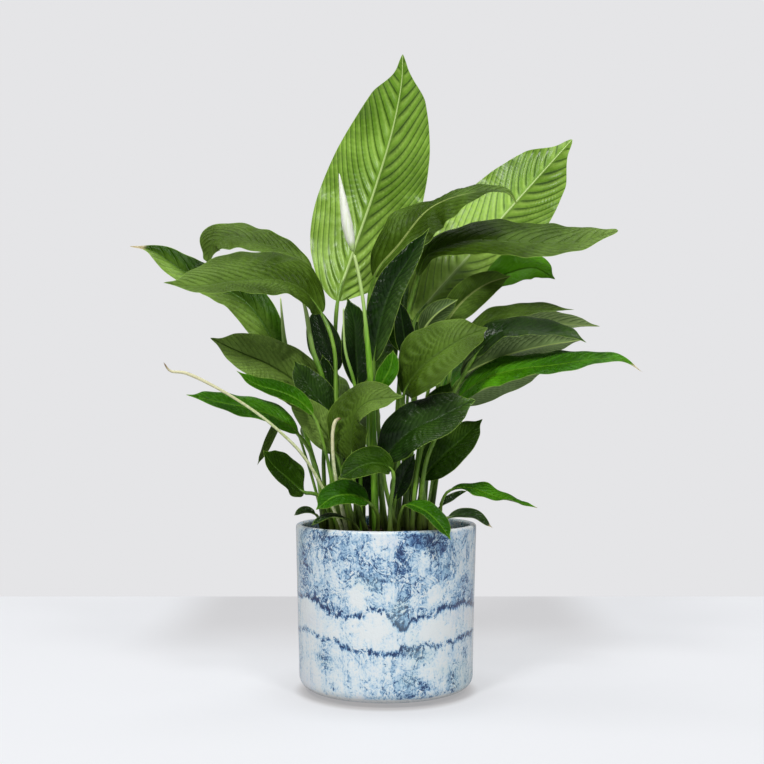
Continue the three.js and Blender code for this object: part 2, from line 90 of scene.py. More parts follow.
class Nodes:
    """Adds shader nodes to one tree and joins them up."""

    def __init__(self, tree):
        self.tree = tree

    def feed(self, socket, value):
        if isinstance(value, bpy.types.NodeSocket):
            self.tree.links.new(value, socket)
        elif socket.type == "RGBA" and len(value) == 3:
            socket.default_value = (*value, 1)
        else:
            socket.default_value = value

    def add(self, kind, inputs=(), **settings):
        node = self.tree.nodes.new("ShaderNode" + kind)
        for key, value in settings.items():
            setattr(node, key, value)
        for key, value in dict(inputs).items():
            self.feed(node.inputs[key], value)
        return node

    def math(self, operation, a, b=0.0):
        return self.add("Math", {0: a, 1: b}, operation=operation).outputs[0]

    def vector(self, operation, a, b=(0, 0, 0)):
        return self.add("VectorMath", {0: a, 1: b}, operation=operation).outputs

    def remap(self, value, low, high, to_low=0.0, to_high=1.0):
        """Eases from to_low to to_high as value goes from low to high, and stays level beyond."""
        given = {"Value": value, "From Min": low, "From Max": high, "To Min": to_low, "To Max": to_high}
        return self.add("MapRange", given, interpolation_type="SMOOTHSTEP").outputs["Result"]

    def mix(self, part, a, b, blend="MIX"):
        node = self.add("Mix", data_type="RGBA", blend_type=blend)
        self.feed(node.inputs["Factor"], part)
        self.feed(node.inputs[6], a)
        self.feed(node.inputs[7], b)
        return node.outputs[2]

    def noise(self, where, scale, detail=2.0, roughness=0.5, distortion=0.0):
        given = {"Vector": where, "Scale": scale, "Detail": detail, "Roughness": roughness}
        return self.add("TexNoise", {**given, "Distortion": distortion}).outputs[0]

    def stretched(self, where, stretch):
        return self.vector("MULTIPLY", where, stretch)[0]

    def attribute(self, name):
        return self.add("Attribute", attribute_name=name).outputs["Fac"]

    def curve(self, value, points):
        """The height of a smooth curve through points, all from 0 to 1."""
        node = self.add("FloatCurve", {"Value": value})
        line = node.mapping.curves[0]
        while len(line.points) < len(points):
            line.points.new(0.5, 0.5)
        for point, (x, y) in zip(line.points, sorted(points)):
            point.location = (x, y)
        node.mapping.update()
        return node.outputs[0]

    def place(self):
        return self.add("TexCoord").outputs["Object"]

    def bump(self, height, distance, strength=1.0):
        given = {"Height": height, "Distance": distance, "Strength": strength}
        return self.add("Bump", given).outputs[0]

    def ramp(self, value, stops):
        node = self.add("ValToRGB", {"Fac": value})
        points = node.color_ramp.elements
        while len(points) < len(stops):
            points.new(0.5)
        for point, (place, colour) in zip(points, stops):
            point.position = place
            point.color = (*colour, 1)
        return node.outputs[0]


def new_group(name, takes, gives):
    """A shader node group with named inputs and outputs; returns its tree, inputs and output node."""
    tree = bpy.data.node_groups.new(name, "ShaderNodeTree")
    for key, kind, value in takes:
        socket = tree.interface.new_socket(key, in_out="INPUT", socket_type="NodeSocket" + kind)
        socket.default_value = value
    for key, kind in gives:
        tree.interface.new_socket(key, in_out="OUTPUT", socket_type="NodeSocket" + kind)
    start = tree.nodes.new("NodeGroupInput")
    end = tree.nodes.new("NodeGroupOutput")
    return Nodes(tree), start.outputs, end.inputs


def use_group(nodes, group, inputs):
    """Places a shader node group in a material, with values of its own; returns its outputs."""
    node = nodes.tree.nodes.new("ShaderNodeGroup")
    node.node_tree = group
    for key, value in inputs.items():
        nodes.feed(node.inputs[key], value)
    return node.outputs


def new_material(name, **surface):
    """A material with a plain Principled surface; returns it, its nodes and the surface's inputs."""
    material = bpy.data.materials.new(name)
    material.use_nodes = True
    sockets = material.node_tree.nodes["Principled BSDF"].inputs
    nodes = Nodes(material.node_tree)
    for key, value in surface.items():
        nodes.feed(sockets[key.replace("_", " ")], value)
    return material, nodes, sockets


# ---- Leaf and stalk finishes ---------------------------------------------------------------------

def leaf_pattern_group():
    """What every leaf face shares: vein lines, midrib, dried tissue and the mottling of the green.

    The mesh attributes it reads are vein (a count of side veins along the blade), rib (distance from
    the midrib as a share of the midrib's half width), margin (millimetres in from the edge), light (painted
    light and shade, from the deep green to the lit green) and dry. It also paints a highlight along the
    crest of each swelling between veins and shade in the groove below it."""
    nodes, start, end = new_group(
        "leaf_pattern",
        [("Green", "Color", (0.05, 0.12, 0.01, 1)), ("Lit Green", "Color", (0.2, 0.4, 0.08, 1)),
         ("Rib Colour", "Color", (0.4, 0.55, 0.2, 1)), ("Vein Strength", "Float", 0.3),
         ("Groove Shade", "Float", 0.3), ("Crest Light", "Float", 0.2), ("Mottling", "Float", 0.2)],
        [("Colour", "Color"), ("Height", "Float"), ("Roughness", "Float")],
    )
    where = nodes.place()
    vein = nodes.attribute("vein")
    rib = nodes.attribute("rib")
    dry = nodes.attribute("dry")
    light = nodes.attribute("light")

    beside = nodes.math("FRACT", vein)
    vein_line = nodes.remap(nodes.math("PINGPONG", vein, 0.5), 0.12, 0.01)
    fine = nodes.math("PINGPONG", nodes.math("MULTIPLY", vein, 4), 0.5)
    fine_line = nodes.remap(fine, 0.30, 0.05)
    threads = nodes.math("PINGPONG", nodes.math("MULTIPLY", vein, 17), 0.5)
    rib_line = nodes.remap(rib, 1.25, 0.75)
    outer = nodes.remap(rib, 1.5, 6.0)

    broad = nodes.noise(where, 21, 3)
    small = nodes.noise(where, 260, 4, 0.6)
    # the light attribute is painted light and shade along each leaf, shifted at random by broad noise
    light = nodes.math("ADD", light, nodes.remap(broad, 0.3, 0.7, -0.12, 0.12))
    # each swelling between two veins gets a painted highlight along its crest and painted shade where it
    # drops to the next vein
    crest = nodes.math("MULTIPLY", nodes.remap(beside, 0.25, 0.60), nodes.remap(beside, 0.86, 0.68))
    crest = nodes.math("MULTIPLY", nodes.math("MULTIPLY", crest, outer), start["Crest Light"])
    green = nodes.mix(nodes.math("ADD", light, crest), start["Green"], start["Lit Green"])
    groove = nodes.math("MULTIPLY", nodes.remap(beside, 0.66, 0.92), nodes.remap(beside, 1.0, 0.95))
    groove = nodes.math("MULTIPLY", nodes.math("MULTIPLY", groove, outer), start["Groove Shade"])
    green = nodes.mix(groove, green, nodes.mix(1.0, green, (0.22, 0.28, 0.20), "MULTIPLY"))
    thin = nodes.math("MULTIPLY", nodes.math("MULTIPLY", fine_line, start["Vein Strength"]), 0.5)
    green = nodes.mix(thin, green, start["Lit Green"])
    shade = nodes.math("ADD", nodes.math("MULTIPLY", broad, 1.4), nodes.math("MULTIPLY", small, 0.8))
    grey = nodes.remap(shade, 0.7, 1.5, 0.62, 1.35)
    grey = nodes.math("MULTIPLY", nodes.math("SUBTRACT", grey, 1.0), start["Mottling"])
    grey = nodes.math("ADD", 1.0, grey)
    grey = nodes.add("CombineColor", {0: grey, 1: grey, 2: grey}).outputs[0]
    green = nodes.mix(1.0, green, grey, "MULTIPLY")
    green = nodes.mix(rib_line, green, start["Rib Colour"])
    edge = nodes.remap(nodes.attribute("margin"), 0.75, 0.25, 0.0, 0.75)
    green = nodes.mix(edge, green, (0.26, 0.42, 0.06))
    husk = nodes.mix(nodes.remap(small, 0.35, 0.65), (0.42, 0.34, 0.17), (0.62, 0.56, 0.36))
    nodes.feed(end["Colour"], nodes.mix(dry, green, husk))

    relief = nodes.math("MULTIPLY", vein_line, -1.0)
    relief = nodes.math("ADD", relief, nodes.math("MULTIPLY", fine_line, -0.35))
    relief = nodes.math("ADD", relief, nodes.math("MULTIPLY", threads, 0.16))
    nodes.feed(end["Height"], nodes.math("ADD", relief, nodes.math("MULTIPLY", small, 0.5)))
    nodes.feed(end["Roughness"], nodes.remap(nodes.math("ADD", small, broad), 0.7, 1.3, -0.05, 0.07))
    return nodes.tree


leaf_pattern = leaf_pattern_group()


def leaf_face(name, green, lit, rib, roughness, relief, specular, **pattern):
    """One face of a leaf; relief is how deep its veins are sunk, in metres, below zero if they stand out."""
    material, nodes, surface = new_material("leaf_" + name, Specular_IOR_Level=specular)
    given = {"Green": (*green, 1), "Lit Green": (*lit, 1), "Rib Colour": (*rib, 1)}
    given.update({key.replace("_", " "): value for key, value in pattern.items()})
    face = use_group(nodes, leaf_pattern, given)
    nodes.feed(surface["Base Color"], face["Colour"])
    nodes.feed(surface["Roughness"], nodes.math("ADD", face["Roughness"], roughness))
    nodes.feed(surface["Normal"], nodes.bump(face["Height"], abs(relief), math.copysign(1, relief)))
    return material


UPPER_VEINS = dict(Vein_Strength=0.10, Groove_Shade=0.22, Crest_Light=0.10, Mottling=0.9)
UNDER_VEINS = dict(Vein_Strength=0.20, Groove_Shade=0.75, Crest_Light=0.45, Mottling=0.6)
PALE_RIB = (0.42, 0.56, 0.16)
VEIN_DEPTH = 0.0004
# The top greens differ partly as the leaves' own tones and partly as painted light and shade: the darker
# greens stand in part for shade, olive and ribbed are greyed as a painted sheen, and every lit green is a
# painted lit copy of its face's green.
LEAF_FACES = {
    "dark": leaf_face("dark", (0.006, 0.027, 0.001), (0.07, 0.15, 0.02), (0.02, 0.055, 0.006),
                      0.13, VEIN_DEPTH, 0.28, **UPPER_VEINS),
    "mid": leaf_face("mid", (0.022, 0.070, 0.001), (0.15, 0.26, 0.035), (0.045, 0.11, 0.008),
                     0.27, VEIN_DEPTH, 0.12, **UPPER_VEINS),
    "olive": leaf_face("olive", (0.046, 0.096, 0.004), (0.19, 0.31, 0.055), (0.07, 0.13, 0.015),
                       0.32, VEIN_DEPTH, 0.10, **UPPER_VEINS),
    "ribbed": leaf_face("ribbed", (0.040, 0.084, 0.003), (0.19, 0.33, 0.05), (0.26, 0.34, 0.09),
                        0.32, VEIN_DEPTH, 0.10, **UPPER_VEINS),
    "vivid": leaf_face("vivid", (0.030, 0.135, 0.001), (0.12, 0.38, 0.008), (0.09, 0.24, 0.01),
                       0.27, VEIN_DEPTH, 0.12, **UPPER_VEINS),
    "under_bright": leaf_face("under_bright", (0.095, 0.235, 0.003), (0.30, 0.48, 0.075), (0.44, 0.60, 0.20),
                              0.34, -VEIN_DEPTH, 0.30, **UNDER_VEINS),
    "under_pale": leaf_face("under_pale", (0.15, 0.26, 0.04), (0.34, 0.47, 0.16), PALE_RIB,
                            0.44, -VEIN_DEPTH, 0.2, **UNDER_VEINS),
    "under_grey": leaf_face("under_grey", (0.075, 0.135, 0.028), (0.24, 0.34, 0.12), PALE_RIB,
                            0.44, -VEIN_DEPTH, 0.2, **UNDER_VEINS),
}


def stalk_finish():
    """Fresh green stalks with fine long ridges, yellower and browner where they leave the soil: partly
    their sheaths, partly painted shade under the leaves.
    """
    material, nodes, surface = new_material("stalk_green", Specular_IOR_Level=0.45)
    where = nodes.place()
    height = nodes.add("SeparateXYZ", {0: where}).outputs["Z"]
    ridges = nodes.noise(nodes.stretched(where, (1, 1, 0.04)), 900, 3, 0.6)
    blotch = nodes.noise(where, 34, 3)
    green = nodes.mix(nodes.remap(blotch, 0.35, 0.65), (0.050, 0.15, 0.004), (0.15, 0.32, 0.015))
    green = nodes.mix(nodes.remap(ridges, 0.4, 0.62, 0.0, 0.5), green, (0.28, 0.44, 0.08))
    # low on the stalks: yellow and brown sheaths, darkened further as painted shade under the leaves
    base = nodes.mix(blotch, (0.09, 0.13, 0.012), (0.03, 0.028, 0.008))
    nodes.feed(surface["Base Color"], nodes.mix(nodes.remap(height, 0.205, 0.150), green, base))
    nodes.feed(surface["Roughness"], nodes.remap(blotch, 0.3, 0.7, 0.34, 0.5))
    nodes.feed(surface["Normal"], nodes.bump(ridges, 0.0003, 0.8))
    return material


def bud_finish():
    """Tall green buds and the flower's stalk: paler than the leaf stalks, almost white at the tips."""
    material, nodes, surface = new_material("bud_green", Specular_IOR_Level=0.45)
    where = nodes.place()
    streaks = nodes.noise(nodes.stretched(where, (1, 1, 0.05)), 700, 3, 0.6)
    tip = nodes.attribute("tip")
    green = nodes.mix(nodes.remap(streaks, 0.38, 0.62), (0.12, 0.34, 0.008), (0.22, 0.46, 0.030))
    nodes.feed(surface["Base Color"], nodes.mix(nodes.remap(tip, 0.62, 1.0), green, (0.50, 0.66, 0.24)))
    nodes.feed(surface["Roughness"], nodes.remap(streaks, 0.3, 0.7, 0.36, 0.48))
    nodes.feed(surface["Normal"], nodes.bump(streaks, 0.0003, 0.7))
    return material


def spathe_finish():
    """The rolled white flower leaf, with green streaks that rise from its foot and a matt sheen."""
    material, nodes, surface = new_material("spathe_white", Specular_IOR_Level=0.4)
    where = nodes.place()
    streaks = nodes.noise(nodes.stretched(where, (1, 1, 0.06)), 620, 4, 0.6)
    tip = nodes.attribute("tip")
    white = nodes.mix(nodes.remap(streaks, 0.4, 0.66), (0.86, 0.88, 0.80), (0.74, 0.80, 0.60))
    foot = nodes.math("ADD", nodes.remap(tip, 0.22, 0.02), nodes.math("MULTIPLY", streaks, 0.25))
    nodes.feed(surface["Base Color"], nodes.mix(nodes.remap(foot, 0.35, 1.0), white, (0.42, 0.58, 0.20)))
    nodes.feed(surface["Roughness"], nodes.remap(streaks, 0.3, 0.7, 0.42, 0.58))
    nodes.feed(surface["Normal"], nodes.bump(streaks, 0.0004, 0.8))
    return material


def withered_finish():
    """A spent flower and its stalk: dry cream with tan wrinkles and a brown scorch at the end."""
    material, nodes, surface = new_material("withered_cream", Specular_IOR_Level=0.3)
    where = nodes.place()
    wrinkles = nodes.noise(where, 300, 5, 0.65)
    tip = nodes.attribute("tip")
    cream = nodes.mix(nodes.remap(wrinkles, 0.35, 0.65), (0.46, 0.54, 0.22), (0.70, 0.74, 0.46))
    tan = nodes.mix(wrinkles, (0.58, 0.54, 0.28), (0.80, 0.78, 0.54))
    colour = nodes.mix(nodes.remap(tip, 0.55, 0.85), cream, tan)
    nodes.feed(surface["Base Color"], nodes.mix(nodes.remap(tip, 0.94, 1.0), colour, (0.16, 0.08, 0.03)))
    nodes.feed(surface["Roughness"], nodes.remap(wrinkles, 0.3, 0.7, 0.6, 0.8))
    nodes.feed(surface["Normal"], nodes.bump(wrinkles, 0.0006))
    return material


def compost_finish(name, dark, light):
    """Damp compost: near-black peat, rusty fibres and pale grit."""
    material, nodes, surface = new_material(name, Specular_IOR_Level=0.3)
    where = nodes.place()
    clods = nodes.noise(where, 160, 5, 0.65)
    grains = nodes.noise(where, 900, 3, 0.6)
    colour = nodes.mix(nodes.remap(clods, 0.35, 0.65), dark, light)
    colour = nodes.mix(nodes.remap(grains, 0.62, 0.70, 0.0, 0.7), colour, (0.24, 0.17, 0.10))
    nodes.feed(surface["Base Color"], colour)
    nodes.feed(surface["Roughness"], nodes.remap(grains, 0.3, 0.7, 0.8, 0.98))
    relief = nodes.math("ADD", clods, nodes.math("MULTIPLY", grains, 0.4))
    nodes.feed(surface["Normal"], nodes.bump(relief, 0.002))
    return material


# ---- Glaze ---------------------------------------------------------------------------------------

POT_HEIGHT = 0.165
POT_TOP_RADIUS = 0.090
POT_BASE_RADIUS = 0.087
POT_WALL = 0.006
POT_FLOOR = 0.012
POT_EDGE_ROUND = 0.012
FOOT_RADIUS = 0.054
FOOT_HEIGHT = 0.004

# Patches of glaze: degrees round from the front, height, half width and half height in millimetres,
# and how much more cobalt (or less, below zero) the patch holds.
GLAZE_PATCHES = [
    # dense cobalt
    (-34, 150, 13, 17, 0.34), (-46, 158, 10, 8, 0.26), (22, 155, 16, 8, 0.44), (9, 136, 7, 15, 0.50),
    (33, 150, 11, 12, 0.32), (62, 140, 4, 11, 0.30), (-64, 128, 12, 30, 0.24), (-18, 140, 13, 6, 0.26),
    (0, 124, 13, 9, 0.26), (58, 112, 11, 7, 0.22), (24, 116, 22, 20, 0.12), (10, 79, 6, 4, 0.30),
    (25, 20, 10, 6, 0.36), (45, 26, 9, 5, 0.24), (-35, 18, 7, 4, 0.30), (-40, 44, 17, 8, 0.20),
    (20, 50, 15, 5, 0.30), (-32, 57, 10, 4, 0.22),
    # thin threads
    (-33, 98, 1.4, 15, 0.42), (-29, 100, 1.2, 16, 0.42), (25, 100, 1.2, 14, 0.42), (70, 150, 1.2, 9, 0.3),
    # bare, milky white
    (-18, 107, 12, 15, -0.42), (33, 105, 11, 10, -0.36), (-58, 88, 14, 9, -0.22), (-10, 72, 22, 7, -0.26),
    (30, 70, 22, 8, -0.26), (68, 78, 12, 8, -0.16),
    # round the far side
    (105, 146, 15, 14, 0.34), (128, 118, 9, 26, 0.24), (150, 152, 18, 8, 0.36), (172, 128, 8, 20, 0.34),
    (198, 150, 14, 12, 0.32), (222, 120, 12, 26, 0.22), (246, 150, 12, 12, 0.32), (140, 100, 13, 12, -0.34),
    (208, 92, 16, 12, -0.34), (165, 70, 24, 8, -0.24), (115, 30, 12, 7, 0.26), (186, 36, 16, 8, 0.24),
    (238, 24, 11, 6, 0.28),
]


def glaze_patch_group():
    """A soft ragged patch round a centre: 1 inside, falling to 0."""
    nodes, start, end = new_group(
        "glaze_patch",
        [("Place", "Vector", (0, 0, 0)), ("Centre", "Vector", (0, 0, 0)), ("Size", "Vector", (1, 1, 1)),
         ("Ragged", "Float", 0.5)],
        [("Patch", "Float")],
    )
    away = nodes.vector("SUBTRACT", start["Place"], start["Centre"])[0]
    away = nodes.vector("DIVIDE", away, start["Size"])[0]
    distance = nodes.add("VectorMath", {0: away}, operation="LENGTH").outputs["Value"]
    distance = nodes.math("ADD", distance, start["Ragged"])
    nodes.feed(end["Patch"], nodes.remap(distance, 1.35, 0.35))
    return nodes.tree


# Where each ragged run line lies round the pot: degrees from the front, and height in millimetres.
FIRST_RUN = [
    (-180, 86), (-150, 95), (-120, 84), (-90, 94), (-56, 98), (-30, 85), (-13, 87), (-5, 92), (2, 85),
    (10, 76), (17, 84), (30, 86), (42, 91), (58, 92), (90, 84), (120, 93), (150, 82), (180, 86),
]
SECOND_RUN = [
    (-180, 56), (-140, 62), (-100, 54), (-65, 66), (-35, 61), (-13, 55), (0, 52), (12, 55), (22, 57),
    (42, 57), (58, 62), (90, 58), (130, 50), (180, 56),
]


def glaze_ragged_group():
    """How far the edge of a run of glaze strays: coarse waves, jags and the comb of fine drips."""
    nodes, start, end = new_group(
        "glaze_ragged",
        [("Place", "Vector", (0, 0, 0)), ("Seed", "Float", 0.0), ("Sway", "Float", 0.01),
         ("Comb", "Float", 0.004)],
        [("Stray", "Float")],
    )
    parts = nodes.add("SeparateXYZ", {0: start["Place"]}).outputs
    round_pot = nodes.add("CombineXYZ", {0: parts["X"], 1: parts["Y"], 2: start["Seed"]}).outputs[0]
    jags = nodes.math("SUBTRACT", nodes.noise(round_pot, 95, 3, 0.6), 0.5)
    comb = nodes.math("SUBTRACT", nodes.noise(round_pot, 620, 1), 0.5)
    stray = nodes.math("MULTIPLY", jags, start["Sway"])
    nodes.feed(end["Stray"], nodes.math("ADD", stray, nodes.math("MULTIPLY", comb, start["Comb"])))
    return nodes.tree


def glaze_finish():
    """Cobalt run over milky white: drips from the rim, two ragged run lines and marbled pools."""
    material, nodes, surface = new_material("glaze_blue_white", Coat_Weight=0.5, Coat_Roughness=0.06)
    where = nodes.place()
    parts = nodes.add("SeparateXYZ", {0: where}).outputs
    height = parts["Z"]
    drips = nodes.noise(nodes.stretched(where, (1, 1, 0.16)), 62, 4, 0.6, 0.3)
    streaks = nodes.noise(nodes.stretched(where, (1, 1, 0.09)), 330, 3, 0.6)
    clouds = nodes.noise(where, 34, 5, 0.62)
    specks = nodes.noise(nodes.stretched(where, (1, 1, 0.8)), 520, 3, 0.7)
    crumbs = nodes.noise(where, 190, 3, 0.7)
    wrinkles = nodes.noise(nodes.stretched(where, (1, 1, 0.8)), 52, 4, 0.62, 1.4)
    cracks = nodes.noise(where, 120, 3, 0.6, 1.2)
    ragged = nodes.math("MULTIPLY", nodes.math("SUBTRACT", crumbs, 0.5), 2.2)
    ragged = nodes.math("ADD", ragged, nodes.math("MULTIPLY", nodes.math("SUBTRACT", clouds, 0.5), 2.0))

    patch_group = glaze_patch_group()
    patches = 0.0
    for degrees, level, half_width, half_height, amount in GLAZE_PATCHES:
        angle = math.radians(degrees)
        centre = Vector((POT_TOP_RADIUS * math.sin(angle), -POT_TOP_RADIUS * math.cos(angle), level * MM))
        size = Vector((half_width, half_width, half_height)) * MM
        given = {"Place": where, "Centre": centre, "Size": size, "Ragged": ragged}
        patch = use_group(nodes, patch_group, given)["Patch"]
        patches = nodes.math("ADD", patches, nodes.math("MULTIPLY", patch, 0.85 * amount))

    # the side of the pot as a share of a turn, with the front in the middle
    around = nodes.math("ARCTAN2", parts["X"], nodes.math("MULTIPLY", parts["Y"], -1.0))
    around = nodes.math("ADD", nodes.math("DIVIDE", around, TURN), 0.5)
    ragged_group = glaze_ragged_group()
    above = []
    for run, seed in ((FIRST_RUN, 0.31), (SECOND_RUN, 0.72)):
        points = [((degrees + 180) / 360, level / 100) for degrees, level in run]
        level = nodes.math("MULTIPLY", nodes.curve(around, points), 100 * MM)
        stray = use_group(nodes, ragged_group, {"Place": where, "Seed": seed, "Sway": 0.015, "Comb": 0.007})
        above.append(nodes.math("SUBTRACT", height, nodes.math("ADD", level, stray["Stray"])))
    above_first, above_second = above

    def swing(noise_value, amount):
        return nodes.math("MULTIPLY", nodes.math("SUBTRACT", noise_value, 0.5), amount)

    cobalt = nodes.math("ADD", swing(drips, 0.85), swing(streaks, 0.42))
    cobalt = nodes.math("ADD", cobalt, nodes.math("ADD", swing(specks, 0.7), swing(clouds, 1.1)))
    cobalt = nodes.math("ADD", cobalt, patches)
    # the cobalt pools above the first line and below the second, and leaves milky white between
    upper = nodes.remap(above_first, 0.0, 0.004, 0.11, 0.25)
    just_above = nodes.remap(above_first, -0.001, 0.001)
    bleed = nodes.math("MULTIPLY", nodes.remap(above_first, 0.016, 0.0), just_above)
    lower = nodes.remap(above_second, 0.002, -0.003, 0.03, 0.11)
    pooled = nodes.math("ADD", nodes.math("MULTIPLY", bleed, 0.14), nodes.math("ADD", upper, lower))
    cobalt = nodes.math("ADD", cobalt, pooled)
    for distance, strength in ((above_first, 0.75), (above_second, 0.65)):
        line = nodes.remap(nodes.math("ABSOLUTE", distance), 0.0040, 0.0002)
        patchy = nodes.remap(nodes.math("ADD", clouds, crumbs), 0.72, 1.10, 0.25, 1.0)
        line = nodes.math("MULTIPLY", nodes.math("MULTIPLY", line, patchy), strength)
        cobalt = nodes.math("ADD", cobalt, line)
    cobalt = nodes.math("ADD", cobalt, swing(crumbs, 0.42))
    # marbling: thin dark wrinkles and pale ones beside them, strongest where the cobalt lies thick; the pale
    # ones are partly the glaze's own marbling and partly painted highlights, glints on the crackle
    thick = nodes.remap(cobalt, 0.14, 0.50, 0.12, 1.0)
    for veins, half_width, strength in ((wrinkles, 0.030, 0.42), (cracks, 0.045, 0.30)):
        fold = nodes.math("SUBTRACT", veins, 0.5)
        dark_fold = nodes.remap(nodes.math("ABSOLUTE", fold), half_width, 0.2 * half_width, 0.0, strength)
        beside = nodes.math("ABSOLUTE", nodes.math("SUBTRACT", fold, 2.2 * half_width))
        pale_fold = nodes.remap(beside, half_width, 0.3 * half_width, 0.0, -0.95 * strength)
        fold = nodes.math("MULTIPLY", nodes.math("ADD", dark_fold, pale_fold), thick)
        cobalt = nodes.math("ADD", cobalt, fold)
    dots = nodes.remap(specks, 0.63, 0.70, 0.0, 0.55)
    cobalt = nodes.math("ADD", cobalt, nodes.math("MULTIPLY", dots, nodes.remap(cobalt, 0.12, 0.5)))
    cobalt = nodes.math("ADD", cobalt, nodes.remap(height, 0.161, 0.1648, 0.0, -0.20))

    colour = nodes.ramp(cobalt, [
        (0.0, (0.81, 0.86, 0.87)), (0.16, (0.70, 0.81, 0.87)), (0.34, (0.43, 0.62, 0.78)),
        (0.54, (0.20, 0.38, 0.60)), (0.74, (0.050, 0.15, 0.34)), (0.96, (0.008, 0.035, 0.13)),
    ])
    tinge = nodes.noise(where, 17, 2)
    colour = nodes.mix(nodes.remap(tinge, 0.56, 0.70, 0.0, 0.22), colour, (0.46, 0.66, 0.60))
    colour = nodes.mix(nodes.remap(tinge, 0.42, 0.32, 0.0, 0.12), colour, (0.55, 0.52, 0.80))
    worn = nodes.math("ADD", height, nodes.math("MULTIPLY", clouds, 0.003))
    pale_edge = nodes.math("MULTIPLY", nodes.remap(worn, 0.0062, 0.0075), nodes.remap(worn, 0.0115, 0.0095))
    colour = nodes.mix(nodes.math("MULTIPLY", pale_edge, 0.8), colour, (0.80, 0.82, 0.80))
    biscuit = nodes.remap(worn, 0.0058, 0.0050)
    clay = nodes.mix(crumbs, (0.62, 0.60, 0.56), (0.80, 0.79, 0.76))
    nodes.feed(surface["Base Color"], nodes.mix(biscuit, colour, clay))
    polish = nodes.remap(clouds, 0.3, 0.7, 0.12, 0.24)
    nodes.feed(surface["Roughness"], nodes.math("ADD", polish, nodes.math("MULTIPLY", biscuit, 0.5)))
    surface_relief = nodes.math("ADD", nodes.math("MULTIPLY", cobalt, -0.6), drips)
    nodes.feed(surface["Normal"], nodes.bump(surface_relief, 0.0014, 0.6))
    return material


STALK = stalk_finish()
BUD = bud_finish()
SPATHE = spathe_finish()
WITHERED = withered_finish()
COMPOST = compost_finish("compost", (0.012, 0.008, 0.005), (0.045, 0.028, 0.016))
CRUMB = compost_finish("compost_crumb", (0.020, 0.013, 0.008), (0.075, 0.048, 0.028))
GLAZE = glaze_finish()


# ---- The plan of the plant, in millimetres -------------------------------------------------------
# Each leaf starts at its root in the soil, follows the stalk's points, then its blade's midrib from
# the blade's base to its tip. width is the blade's full width. Each entry of faces is a direction that
# the upper surface looks in, spread evenly from the blade's base to its tip. fold is how far each half
# rises from flat, in degrees, and hangs below it where fold is negative; it can be a row too. widest is
# where the blade is widest, as a share of its length.

SOIL_TOP = 156
GAP = 0.3
ROOT_RISE = 6
FOLD_DEGREES = 14
WIDEST_AT = 0.4

